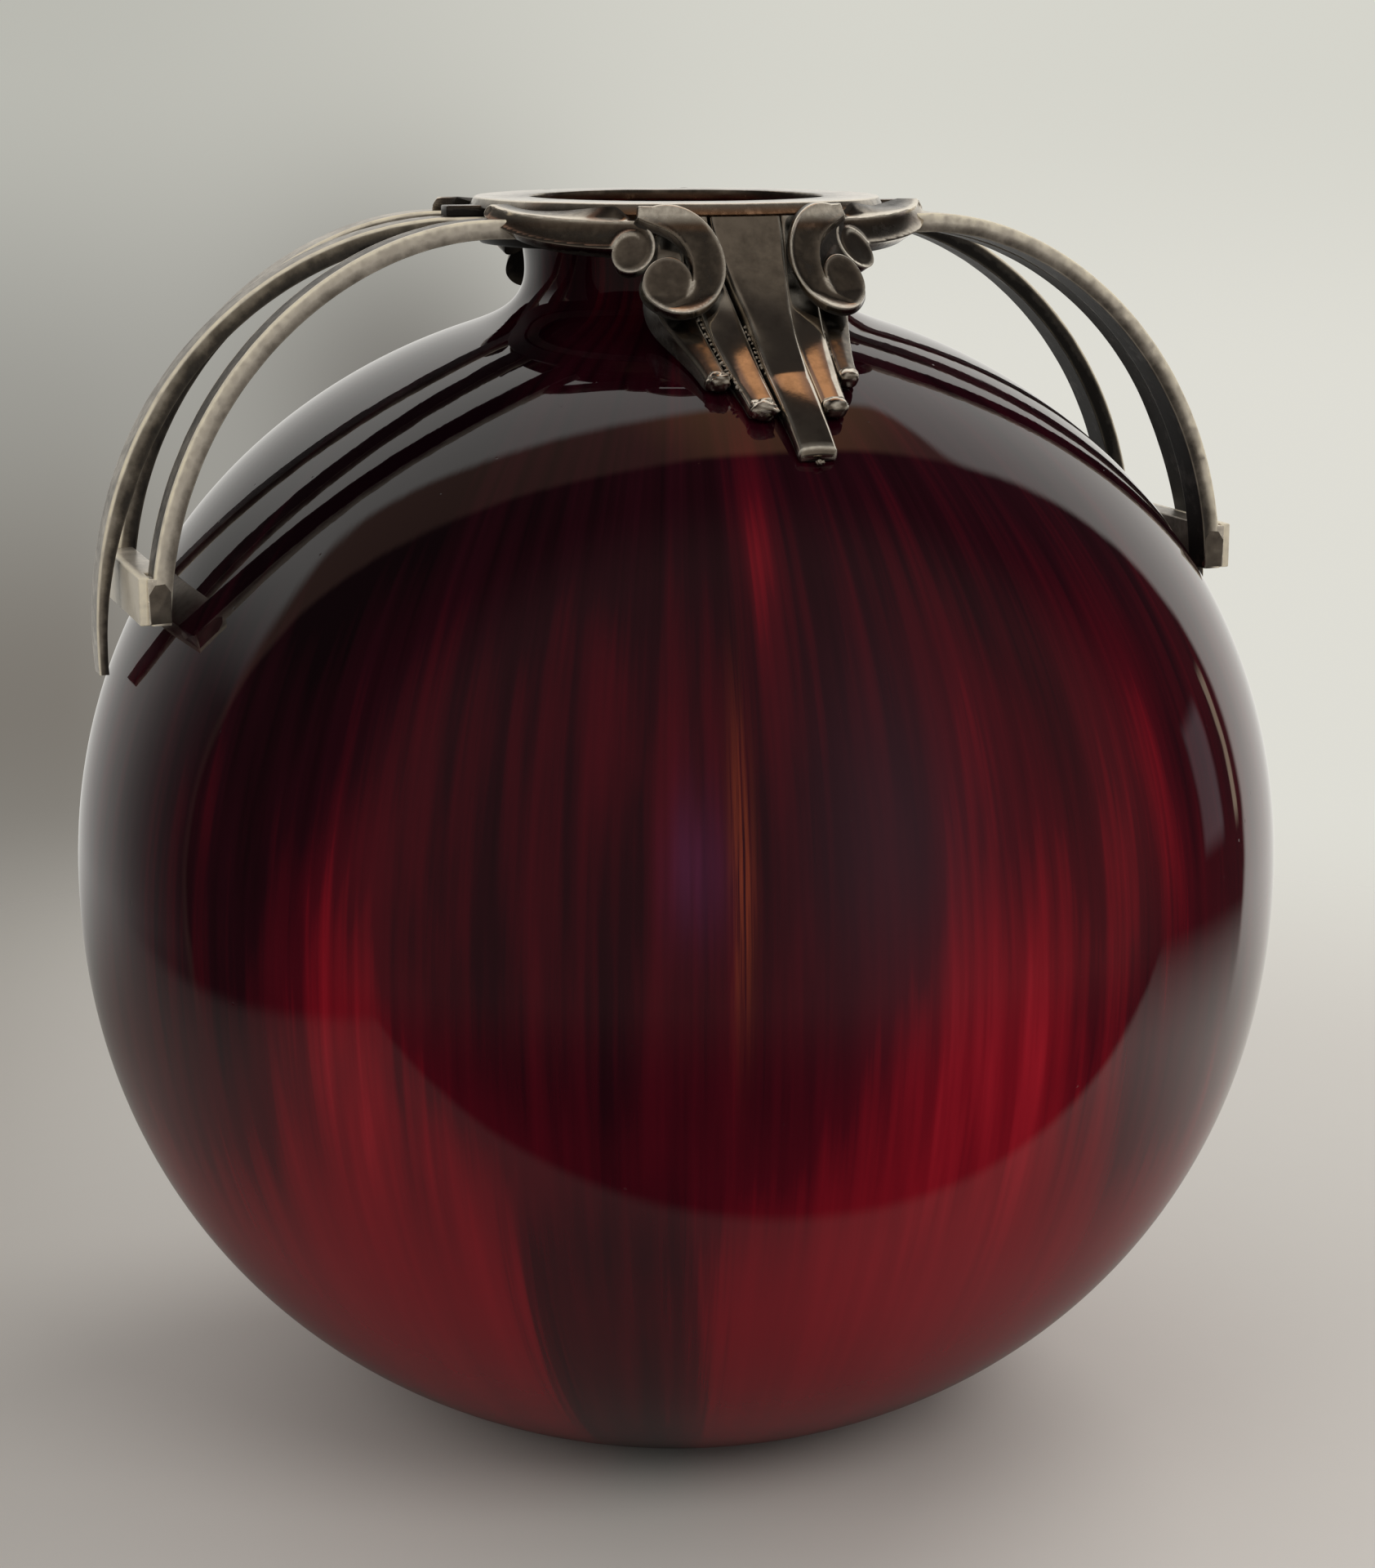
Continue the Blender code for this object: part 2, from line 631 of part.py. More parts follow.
def scroll_outline():
    """C-scroll seen from the front, round its eye: u grows away from the middle, v upward."""
    span = SCROLL_OUTER_SWEEP - SCROLL_START_ANGLE
    outer = []
    for share in shares(24):
        swell = 0.5 * (1.0 + math.cos(math.pi * share))
        outer.append((SCROLL_START_ANGLE + span * share,
                      SCROLL_EYE_RADIUS + (SCROLL_HEIGHT - SCROLL_EYE_RADIUS) * swell))
    free_span = SCROLL_INNER_SWEEP + 360.0 - SCROLL_OUTER_SWEEP
    free = [(SCROLL_OUTER_SWEEP + free_span * share, SCROLL_EYE_RADIUS) for share in shares(12)[1:-1]]
    inner_height = SCROLL_HEIGHT - SCROLL_BAND
    inner = []
    for share in shares(9):
        inner.append((SCROLL_INNER_SWEEP + (SCROLL_START_ANGLE - SCROLL_INNER_SWEEP) * share,
                      SCROLL_EYE_RADIUS + (inner_height - SCROLL_EYE_RADIUS) * share ** SCROLL_INNER_POWER))
    outline = []
    for angle, reach in outer + free + inner:
        turn = math.radians(90.0 - angle)
        outline.append((SCROLL_EYE_SIDE - reach * math.cos(turn), scroll_eye_rise() + reach * math.sin(turn)))
    return outline


def wing_outline():
    """Wing seen from the front: top edge, small volute, then the lower edge back to the round tip."""
    eye = (WING_EYE_SIDE, RIM_RISE - WING_EYE_DROP)
    crown = (eye[0], eye[1] + WING_CROWN)
    half = 0.5 * WING_TIP_HEIGHT
    tip = (WING_TIP_SIDE - half, RIM_RISE - WING_TIP_DROP)
    length = tip[0] - eye[0]
    tip_top = (tip[0], tip[1] + half)
    outline = [bezier(tip_top, (tip_top[0] - WING_TIP_PULL * length, tip_top[1] - WING_SAG),
                      (crown[0] + WING_CROWN_PULL * length, crown[1]), crown, share) for share in shares(9)]
    for share in shares(16)[1:]:
        turn = math.radians(90.0 - 270.0 * share)
        reach = WING_CROWN + (WING_EYE_RADIUS - WING_CROWN) * share
        outline.append((eye[0] - reach * math.cos(turn), eye[1] + reach * math.sin(turn)))
    heel = outline[-1]
    tip_low = (tip[0], tip[1] - half)
    near_heel = (heel[0] + WING_HEEL_PULL * length, heel[1] + WING_HEEL_SAG_SHARE * WING_SAG)
    near_tip = (heel[0] + WING_LOWER_PULL * length, heel[1] + WING_LOWER_SAG_SHARE * WING_SAG)
    outline += [bezier(heel, near_heel, near_tip, tip_low, share) for share in shares(8)[1:]]
    for share in shares(4)[1:-1]:
        turn = math.pi * share
        outline.append((tip[0] + half * math.sin(turn), tip[1] - half * math.cos(turn)))
    return outline


def outline_normals(outline):
    """Outward direction at each point of an outline."""
    area = sum(a[0] * b[1] - b[0] * a[1] for a, b in zip(outline, outline[1:] + outline[:1]))
    turn = 1.0 if area > 0 else -1.0
    normals = []
    for index in range(len(outline)):
        before = outline[index - 1]
        after = outline[(index + 1) % len(outline)]
        along = Vector((after[0] - before[0], after[1] - before[1])).normalized()
        normals.append(turn * Vector((along.y, -along.x)))
    return normals


def make_plate_mesh(name, outline, side, face_radius, back_radius, back_shift):
    """Bend a thick plate with a raised arris round the layout cylinder. Its back may outgrow its face."""
    back_mark = -1.0
    bm = bmesh.new()
    front = [bm.verts.new((u, v, 0.0)) for u, v in outline]
    back = []
    for (u, v), normal in zip(outline, outline_normals(outline)):
        shift = back_shift(u, v, normal)
        back.append(bm.verts.new((u + shift[0], v + shift[1], back_mark)))
    face = bm.faces.new(front)
    bm.faces.new(back[::-1])
    for index in range(len(outline)):
        following = (index + 1) % len(outline)
        bm.faces.new((front[index], back[index], back[following], front[following]))
    bm.normal_update()
    if face.normal.z < 0:
        bmesh.ops.reverse_faces(bm, faces=bm.faces)
    bmesh.ops.inset_region(bm, faces=[face], thickness=ARRIS_WIDTH, depth=0.0, use_even_offset=False)
    bmesh.ops.inset_region(bm, faces=[face], thickness=0.5 * ARRIS_WIDTH, depth=-ARRIS_DEPTH,
                           use_even_offset=False)
    bmesh.ops.triangulate(bm, faces=bm.faces)
    for vert in bm.verts:
        u, v, depth = vert.co
        radius = back_radius(u, v) if depth < 0.5 * back_mark else face_radius(u, v) + depth
        angle = side * u / LAYOUT_RADIUS
        vert.co = (radius * math.sin(angle), -radius * math.cos(angle), BALL_CENTRE_Z + v)
    return finish_mesh(name, bm)


def scroll_back_radius(u, v):
    """Straight leaning back of a scroll, clear of all that it lies on."""
    low = scroll_eye_rise() - SCROLL_EYE_RADIUS - SCROLL_DRAFT
    slope = (bed_radius(low) - RIM_RADIUS) / (RIM_RISE - low)
    rises = [low + (RIM_RISE - low) * share for share in shares(12)] + [RIM_UNDER_RISE]
    clear = max(bed_radius(rise) - slope * (RIM_RISE - rise) for rise in rises)
    half_width = 0.5 * (SCROLL_HEIGHT + SCROLL_EYE_RADIUS)
    sag = half_width ** 2 / (2.0 * LAYOUT_RADIUS)
    return clear + slope * (RIM_RISE - v) + sag + GAP


def scroll_face_radius(u, v):
    return max(apron_radius(v) + SCROLL_PROUD, scroll_back_radius(u, v) + ARRIS_DEPTH + SCROLL_THINNEST)


def scroll_back_shift(u, v, normal):
    """The lower outer side of a scroll slopes out to a larger back."""
    return SCROLL_DRAFT * max(normal.dot(Vector(lean_way(SCROLL_DRAFT_LEAN))), 0.0) * normal


def wing_share(u):
    """Eased share of the way from the eye of a wing's volute to its tip."""
    return smooth_step(min(max((u - WING_EYE_SIDE) / (WING_TIP_SIDE - WING_EYE_SIDE), 0.0), 1.0))


def wing_face_radius(u, v):
    return apron_radius(v) + WING_PROUD + (WING_TIP_PROUD - WING_PROUD) * wing_share(u)


def wing_back_radius(u, v):
    return max(wing_face_radius(u, v) - WING_THICKNESS, RIM_UNDER_RADIUS + GAP)


def wing_back_shift(u, v, normal):
    """The top of a wing slopes up to the rim, less so near its tip, and its underside slopes down."""
    share = smooth_step(min(max((u - WING_EYE_SIDE) / WING_CROWN, 0.0), 1.0))
    if normal.y > 0:
        return (0.0, share * (1.0 - wing_share(u)) * normal.y * max(RIM_RISE - GAP - v, 0.0))
    return (0.0, share * normal.y * WING_UNDERCUT)


def make_ornament_meshes():
    meshes = {"strip_centre": make_strip_mesh("strip_centre", "centre", 1, CENTRE_REACH, 1.0)}
    for hand, side in (("right", 1), ("left", -1)):
        meshes["strip_inner_" + hand] = make_strip_mesh("strip_inner", "inner", side, INNER_REACH,
                                                        INNER_DEPTH_SHARE)
        meshes["strip_outer_" + hand] = make_strip_mesh("strip_outer", "outer", side, OUTER_REACH,
                                                        OUTER_DEPTH_SHARE)
        meshes["scroll_" + hand] = make_plate_mesh("scroll", scroll_outline(), side, scroll_face_radius,
                                                   scroll_back_radius, scroll_back_shift)
        meshes["wing_" + hand] = make_plate_mesh("wing", wing_outline(), side, wing_face_radius,
                                                 wing_back_radius, wing_back_shift)
    return meshes


def notch_for_bar(name, wing, x_side, y_side):
    """Cut the root of a side bar out of the wing that sits on it."""
    top = BALL_CENTRE_Z + RIM_RISE - BAR_ROOT_DROP + GAP
    bottom = BALL_CENTRE_Z + FLANGE_BOTTOM
    outer = 0.5 * HANDLE_WIDTH + GAP
    inner = 0.5 * HANDLE_WIDTH - BAR_WIDTH - GAP
    reach = LUG_REACH + LUG_LENGTH
    middle = Vector((x_side * 0.5 * reach, y_side * 0.5 * (outer + inner), 0.5 * (top + bottom)))
    cut = wing.modifiers.new("Bar notch", "BOOLEAN")
    cut.operation = "DIFFERENCE"
    cut.object = add_box(name + "_notch_tool", middle, Vector((reach, outer - inner, top - bottom)))


def make_ornaments(material):
    meshes = make_ornament_meshes()
    for place, angle in (("front", 0.0), ("rear", math.pi)):
        for kind, mesh in meshes.items():
            name = "%s_%s" % (place, kind)
            item = add_object(name, mesh, material)
            item.rotation_euler = (0.0, 0.0, angle)
            if kind.startswith("wing"):
                turn = 1 if place == "front" else -1
                x_side = turn * (1 if kind.endswith("right") else -1)
                notch_for_bar(name, item, x_side, -turn)


def main():
    clear_scene()
    glaze = make_material("red_glaze", (0.10, 0.006, 0.012), 0.06, 0.0)
    silver = make_material("tarnished_silver", (0.62, 0.59, 0.54), 0.28, 1.0)
    plaster = make_material("plaster", (0.72, 0.69, 0.62), 0.85, 0.0)
    make_body(glaze)
    make_collar(silver)
    make_bedding(plaster)
    make_ornaments(silver)
    make_handles(silver)


main()
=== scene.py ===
import math

import bmesh
import bpy
import numpy as np
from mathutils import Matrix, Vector, geometry, noise


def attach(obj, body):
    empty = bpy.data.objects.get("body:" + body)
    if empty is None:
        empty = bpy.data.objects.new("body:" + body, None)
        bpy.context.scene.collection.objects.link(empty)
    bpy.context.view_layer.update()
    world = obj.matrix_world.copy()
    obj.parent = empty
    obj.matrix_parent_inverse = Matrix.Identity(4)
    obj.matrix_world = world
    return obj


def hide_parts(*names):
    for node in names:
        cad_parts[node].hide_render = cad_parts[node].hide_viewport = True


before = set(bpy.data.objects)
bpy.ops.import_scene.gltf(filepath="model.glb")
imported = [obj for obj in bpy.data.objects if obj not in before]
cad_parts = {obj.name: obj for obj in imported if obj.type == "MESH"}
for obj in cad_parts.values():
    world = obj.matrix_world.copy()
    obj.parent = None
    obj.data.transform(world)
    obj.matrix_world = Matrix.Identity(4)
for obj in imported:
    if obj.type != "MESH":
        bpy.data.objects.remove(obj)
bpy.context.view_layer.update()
scene = bpy.context.scene
scene.view_settings.view_transform = "Standard"

# All sizes are metres. A rise is a height above the middle of the ball.
ball = {
    "radius": 0.125, "shoulderRise": 0.1182, "shoulderPower": 2.07, "bellyDrop": 0.1224, "bellyPower": 2.10,
    "wall": 0.006, "footRadius": 0.038, "footWidth": 0.011, "footRecess": 0.0025,
    "neckRadius": 0.031, "neckSpread": 0.013, "neckHeight": 0.0232, "waistShare": 0.505, "neckWall": 0.005,
    "lipFlare": 0.0015, "lipRound": 0.0012, "segments": 256,
    # how stiffly the profile leaves the lip, the waist and the vault, and the vault's lean there
    "neckStiffness": 0.45, "spreadStiffness": 0.42, "throatStiffness": 0.4, "vaultLean": 63.4,
}
gap = 0.0003  # room between neighbouring pieces


# Small helpers for curves
def shares(count):
    return [step / count for step in range(count + 1)]


def ease(t):
    t = min(max(t, 0.0), 1.0)
    return t * t * (3.0 - 2.0 * t)


def mixPoints(a, b, t):
    return tuple(p + (q - p) * t for p, q in zip(a, b))


def bezier(a, b, c, d, t):
    s = 1.0 - t
    weights = (s ** 3, 3 * s * s * t, 3 * s * t * t, t ** 3)
    return tuple(sum(w * v for w, v in zip(weights, values)) for values in zip(a, b, c, d))


def curveFrom(start, startWay, end, endWay, stiffness, count):
    reach = stiffness * math.hypot(end[0] - start[0], end[1] - start[1])
    b = (start[0] + reach * startWay[0], start[1] + reach * startWay[1])
    c = (end[0] - reach * endWay[0], end[1] - reach * endWay[1])
    return [bezier(start, b, c, end, t) for t in shares(count)]


def leanWay(degrees):
    return (math.sin(math.radians(degrees)), -math.cos(math.radians(degrees)))


def superellipse(across, radius, rise, power):
    return rise * (1.0 - (across / radius) ** power) ** (1.0 / power)


def ballHeight(radius):
    return superellipse(radius, ball["radius"], ball["shoulderRise"], ball["shoulderPower"])


def ballNormal(radius):
    scale = (ball["shoulderRise"] / ball["radius"]) ** ball["shoulderPower"]
    slope = -scale * (radius / ballHeight(radius)) ** (ball["shoulderPower"] - 1.0)
    return Vector((-slope, 1.0)).normalized()


def ballRadiusAt(rise):
    return superellipse(rise, ball["shoulderRise"], ball["radius"], ball["shoulderPower"])


centreZ = superellipse(ball["footRadius"], ball["radius"], ball["bellyDrop"], ball["bellyPower"])
lipRadius = ball["neckRadius"] + ball["lipFlare"]
neckFootRadius = ball["neckRadius"] + ball["neckSpread"]
lipRise = ballHeight(neckFootRadius) + ball["neckHeight"]


# Shader maths: one class wraps a socket, one builder adds nodes
class Val:
    def __init__(self, nodes, socket):
        self.nodes = nodes
        self.socket = socket

    def math(self, operation, *values):
        return self.nodes.add("ShaderNodeMath", {"operation": operation}, dict(enumerate(values)))

    def __add__(self, other):
        return self.math("ADD", self, other)

    def __radd__(self, other):
        return self.math("ADD", other, self)

    def __sub__(self, other):
        return self.math("SUBTRACT", self, other)

    def __rsub__(self, other):
        return self.math("SUBTRACT", other, self)

    def __mul__(self, other):
        return self.math("MULTIPLY", self, other)

    def __rmul__(self, other):
        return self.math("MULTIPLY", other, self)

    def __truediv__(self, other):
        return self.math("DIVIDE", self, other)

    def __rtruediv__(self, other):
        return self.math("DIVIDE", other, self)

    def __pow__(self, other):
        return self.math("POWER", self, other)

    def __rpow__(self, other):
        return self.math("POWER", other, self)

    def root(self):
        return self.math("SQRT", self)

    def least(self, other):
        return self.math("MINIMUM", self, other)

    def most(self, other):
        return self.math("MAXIMUM", self, other)

    def clamp(self):
        return self.least(1.0).most(0.0)


class Nodes:
    def __init__(self, tree):
        self.tree = tree
        tree.nodes.clear()

    def add(self, kind, settings=None, sockets=None, output=0):
        node = self.tree.nodes.new(kind)
        for name, value in (settings or {}).items():
            if name == "stops":  # colour ramp stops: list of (place, colour)
                ramp = node.color_ramp
                while len(ramp.elements) < len(value):
                    ramp.elements.new(1.0)
                for element, (place, colour) in zip(ramp.elements, value):
                    element.position = place
                    element.color = (*colour, 1.0)
            else:
                setattr(node, name, value)
        for name, value in (sockets or {}).items():
            self.put(node.inputs[name], value)
        found = node.outputs[output] if len(node.outputs) else None
        return Val(self, found) if found is not None else node

    def put(self, socket, value):
        if isinstance(value, Val):
            self.tree.links.new(value.socket, socket)
        elif isinstance(value, (tuple, list)) and len(value) == 3 and socket.type == "RGBA":
            socket.default_value = (*value, 1.0)
        else:
            socket.default_value = value

    def objectPlace(self):
        return self.add("ShaderNodeTexCoord", output="Object")

    def split(self, vector):
        found = self.add("ShaderNodeSeparateXYZ", sockets={0: vector}).socket.node
        return [Val(self, found.outputs[axis]) for axis in range(3)]

    def join(self, x, y, z):
        return self.add("ShaderNodeCombineXYZ", sockets={0: x, 1: y, 2: z})

    def noise(self, vector, scale, detail=4.0, roughness=0.55, distortion=0.0):
        return self.add("ShaderNodeTexNoise", {"noise_dimensions": "3D"},
                        {"Vector": vector, "Scale": scale, "Detail": detail, "Roughness": roughness,
                         "Distortion": distortion})

    def attribute(self, name):
        return self.add("ShaderNodeAttribute", {"attribute_name": name}, output="Fac")

    def smooth(self, value, low, high):
        return self.add("ShaderNodeMapRange", {"interpolation_type": "SMOOTHSTEP"},
                        {"Value": value, "From Min": low, "From Max": high, "To Min": 0.0, "To Max": 1.0})

    def bell(self, value, middle, width):  # soft bump round a value
        offset = (value - middle) / width
        return math.e ** (offset * offset * -1.0)

    def mix(self, factor, first, second):
        return self.add("ShaderNodeMix", {"data_type": "RGBA"}, {0: factor, 6: first, 7: second}, output=2)

    def ramp(self, factor, stops):
        return self.add("ShaderNodeValToRGB", {"stops": stops}, {0: factor})

    def bump(self, height, strength, distance):
        sockets = {"Height": height, "Strength": strength, "Distance": distance}
        return self.add("ShaderNodeBump", None, sockets)

    def surface(self, **sockets):
        named = {label.replace("_", " "): value for label, value in sockets.items()}
        shader = self.add("ShaderNodeBsdfPrincipled", None, named)
        self.add("ShaderNodeOutputMaterial", None, {"Surface": shader})


def newMaterial(name):
    material = bpy.data.materials.new(name)
    material.use_nodes = True
    return material, Nodes(material.node_tree)


# Red glaze that ran down the ball: dark maroon with crimson runs, each zone set by angle and rise
glaze = {
    "ramp": [(0.0, (0.0040, 0.0006, 0.0016)), (0.3, (0.018, 0.0015, 0.0045)), (0.6, (0.066, 0.0024, 0.0074)),
             (0.82, (0.20, 0.0048, 0.0125)), (1.0, (0.33, 0.010, 0.021))],
    "heat": 0.40,  # place on the ramp before anything changes it
    # repeats round the ball, repeats down it, detail, roughness, distortion, weight
    "streaks": {"broad": (7.0, 13.0, 3.0, 0.5, 0.4, 0.6), "fine": (22.0, 10.0, 3.0, 0.5, 0.0, 0.55),
                "thin": (52.0, 15.0, 2.0, 0.5, 0.0, 0.32), "hair": (130.0, 24.0, 3.0, 0.6, 0.0, 0.12)},
    # angle from the front in degrees, rise, half width in degrees, half height, strength
    # the zones at -4, -62 and -68 degrees are painted reflections: darker glaze where a person in front and
    # the left handle are mirrored
    "zones": [(-48.0, 0.004, 7.5, 0.030, 0.30), (-39.0, -0.024, 8.0, 0.022, 0.24),
              (9.0, -0.012, 11.0, 0.040, 0.52), (-4.0, 0.030, 7.0, 0.030, -0.12),
              (-68.0, 0.045, 16.0, 0.04, -0.20), (30.0, 0.03, 12.0, 0.04, 0.10),
              (-10.5, 0.080, 2.2, 0.016, 0.30), (4.0, 0.075, 3.0, 0.022, 0.12),
              (8.0, -0.058, 20.0, 0.030, 0.24), (-48.0, -0.05, 16.0, 0.036, 0.22),
              (-62.0, 0.088, 24.0, 0.026, -0.34)],
    "melt": (-0.008, -0.065, 0.80, 0.69),  # from rise, to rise, share that melts together, heat there
    "darkRun": (-32.0, -17.0, -0.030),  # left and right angle, top
    "bands": [(0.045, 0.09, -0.16), (0.108, 0.114, 0.1)],  # shoulder and neck: from rise, to rise, change
    # a zone as above, its colour, the streak that breaks it up and from where to where; the last, a grey
    # haze, is a painted reflection and stays whole
    "tints": [(-13.4, 0.026, 0.8, 0.021, 0.85, (0.30, 0.055, 0.02), "hair", 0.3, 0.62),
              (-17.3, 0.026, 2.2, 0.012, 0.5, (0.13, 0.03, 0.10), "fine", 0.25, 0.7),
              (0.0, 0.028, 8.0, 0.030, 0.5, (0.05, 0.021, 0.031), "fine", -1.0, 0.0)],
    "pitScale": 130.0, "pitSize": (0.05, 0.015), "smearScale": 38.0, "swellScale": 45.0, "gloss": 0.028,
}


def makeGlaze():
    material, n = newMaterial("redGlaze")
    place = n.objectPlace()
    x, y, z = n.split(place)
    rise = z - centreZ
    reach = (x * x + y * y).root().most(0.002)
    angle = n.add("ShaderNodeMath", {"operation": "ARCTAN2"}, {0: x, 1: y * -1.0}) * (180.0 / math.pi)
    east, north = x / reach, y / reach
    heat, streak = glaze["heat"], {}
    for name, (around, down, detail, roughness, distortion, weight) in glaze["streaks"].items():
        spot = n.join(east * around, north * around, rise * down)
        streak[name] = n.noise(spot, 1.0, detail, roughness, distortion)
        heat = heat + (streak[name] - 0.5) * weight
    for middle, height, width, span, strength in glaze["zones"]:
        heat = heat + n.bell(angle, middle, width) * n.bell(rise, height, span) * strength
    start, end, share, melted = glaze["melt"]
    low = n.smooth(rise, start, end)
    heat = heat * (1.0 - share * low) + melted * low
    left, right, top = glaze["darkRun"]
    jag = angle + (streak["thin"] - 0.5) * 9.0 + (streak["hair"] - 0.5) * 5.0
    run = n.smooth(jag, left - 4.0, left + 3.0) * n.smooth(jag, right + 4.0, right - 4.0)
    run = run * n.smooth(rise, top + 0.008, top - 0.022)
    heat = heat - run * (0.30 - (streak["fine"] - 0.5) * 0.5)
    for start, end, change in glaze["bands"]:
        heat = heat + change * n.smooth(rise, start, end)
    colour = n.ramp(heat.clamp(), glaze["ramp"])
    for middle, height, width, span, strength, tint, name, faint, full in glaze["tints"]:
        mask = n.bell(angle, middle, width) * n.bell(rise, height, span) * n.smooth(streak[name], faint, full)
        colour = n.mix((mask * strength).clamp(), colour, tint)
    pits = n.add("ShaderNodeTexVoronoi", {"feature": "F1"}, {"Vector": place, "Scale": glaze["pitScale"]})
    pit = n.smooth(pits, *glaze["pitSize"])
    smear = n.noise(place, glaze["smearScale"], 5.0, 0.6)
    roughness = glaze["gloss"] + 0.05 * n.smooth(smear, 0.5, 0.8) + 0.2 * pit
    height = n.noise(place, glaze["swellScale"], 2.0) * 0.6 + streak["fine"] * 0.12 - pit * 0.6
    n.surface(Base_Color=colour, Roughness=roughness, IOR=1.5, Normal=n.bump(height, 0.06, 0.0012))
    return material


# Tarnished silver: the pieces carry how worn an edge is, with painted highlights in it, and how deep a recess
# is, with painted shade in it
silver = {
    # the first colour is for wear and painted highlights on edges, the second the gold of the painted
    # highlight on filed bars, the third the orange of a painted warm reflection
    "worn": (1.0, 0.92, 0.78), "filed": (1.0, 0.90, 0.68), "stain": (0.62, 0.36, 0.21),
    "stops": [(0.0, (0.70, 0.635, 0.54)), (0.4, (0.33, 0.292, 0.245)), (0.72, (0.10, 0.088, 0.076)),
              (1.0, (0.016, 0.014, 0.0125))],
    "cloudScale": 120.0, "mottleScale": 620.0, "nickScale": 1900.0, "gloss": 0.14, "glossiest": 0.06,
}


def makeSilver(name, lift=0.0, roughest=0.0, grain=1.0, film=0.0, worn="worn"):
    material, n = newMaterial(name)
    place = n.objectPlace()
    edge = n.attribute("edge")
    cloud = n.noise(place, silver["cloudScale"], 5.0, 0.6)
    mottle = n.noise(place, silver["mottleScale"], 4.0, 0.6)
    nick = n.noise(place, silver["nickScale"], 3.0, 0.65)
    # recesses bring tarnish and painted shade into the darkening
    dirtAndPaintedShade = n.attribute("recess") + (cloud - 0.5) * 0.9 + (mottle - 0.5) * 0.5 - edge * 0.7 - lift
    dirtAndPaintedShade = dirtAndPaintedShade.clamp()
    colour = n.ramp(dirtAndPaintedShade, silver["stops"])
    # the orange mixed in here is a painted warm reflection
    colour = n.mix((n.attribute("stain") * (0.7 + cloud * 0.5)).clamp(), colour, silver["stain"])
    # worn edges and painted highlights turn to the bright edge colour
    shine = (edge * (0.8 + (mottle - 0.5) * 1.3)).clamp()
    colour = n.mix(shine, colour, silver[worn])
    rubbedAndHighlit = shine * 0.78 + (1.0 - dirtAndPaintedShade) * film * (0.8 + (mottle - 0.5) * 0.8)
    rubbedAndHighlit = rubbedAndHighlit.clamp()  # scratched until it scatters, which lets the lamps brighten the painted highlights
    roughness = silver["gloss"] + dirtAndPaintedShade * dirtAndPaintedShade * 0.3 + (nick - 0.5) * 0.1 * grain + rubbedAndHighlit * 0.2 + roughest
    metallic = (1.0 - rubbedAndHighlit * 0.85) * (1.0 - 0.6 * n.smooth(dirtAndPaintedShade, 0.6, 1.0))
    height = cloud * 0.55 + mottle * 0.2 * grain + nick * 0.1 * grain
    n.surface(Base_Color=colour, Roughness=roughness.most(silver["glossiest"]), Metallic=metallic,
              Normal=n.bump(height, 0.14, 0.0003))
    return material


def makePlaster():
    material, n = newMaterial("oldPlaster")
    place = n.objectPlace()
    cloud = n.noise(place, 160.0, 6.0, 0.65)
    crumb = n.noise(place, 1500.0, 4.0, 0.7)
    colour = n.ramp((cloud * 0.7 + crumb * 0.3).clamp(),
                    [(0.3, (0.05, 0.043, 0.034)), (0.5, (0.13, 0.115, 0.093)), (0.72, (0.27, 0.245, 0.20))])
    height = cloud + crumb * 0.5
    n.surface(Base_Color=colour, Roughness=0.78 + crumb * 0.2, Normal=n.bump(height, 0.5, 0.0006))
    return material


glazeMaterial = makeGlaze()
silverMaterial = makeSilver("tarnishedSilver")
polishedMaterial = makeSilver("polishedSilver", lift=0.08, roughest=-0.06, grain=0.25)
barMaterial = makeSilver("rubbedSilver", lift=0.05, roughest=0.06, grain=1.2, film=0.75, worn="filed")
solderMaterial = makeSilver("softSolder", lift=0.2, grain=0.6, film=0.3)
plasterMaterial = makePlaster()
print("materials made")


# Putting pieces into the frame
def addPiece(name, mesh, material, *nodeNames, slot="tarnished_silver"):
    if not mesh.materials:
        mesh.materials.append(material)
    piece = bpy.data.objects.new(name, mesh)
    scene.collection.objects.link(piece)
    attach(piece, "root")
    if nodeNames:
        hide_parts(*nodeNames)


def turnedHalf(mesh):  # the same piece on the other side of the vase
    other = mesh.copy()
    other.name = mesh.name + "Turned"
    for vert in other.vertices:
        vert.co = (-vert.co.x, -vert.co.y, vert.co.z)
    return other


def addFrontAndRear(label, mesh, material, node=None):
    for end, shape in (("front", mesh), ("rear", turnedHalf(mesh))):
        nodeNames = [end + "_" + node] if node else []
        addPiece(end + label, shape, material, *nodeNames)


def finishMesh(name, bm, smoothAngle):
    bmesh.ops.recalc_face_normals(bm, faces=bm.faces)
    if bm.calc_volume(signed=True) < 0:
        bmesh.ops.reverse_faces(bm, faces=bm.faces)
    mesh = bpy.data.meshes.new(name)
    bm.to_mesh(mesh)
    bm.free()
    mesh.shade_smooth()
    mesh.set_sharp_from_angle(angle=math.radians(smoothAngle))
    return mesh


def startMesh(*tags):  # how worn and highlighted and how deep each vertex is, for the silver; the highlights and part of the depth are painted light
    bm = bmesh.new()
    return bm, [bm.verts.layers.float.new(tag) for tag in tags]


def joinRings(bm, lower, upper):
    for i in range(len(lower)):
        j = (i + 1) % len(lower)
        bm.faces.new((lower[i], lower[j], upper[j], upper[i]))


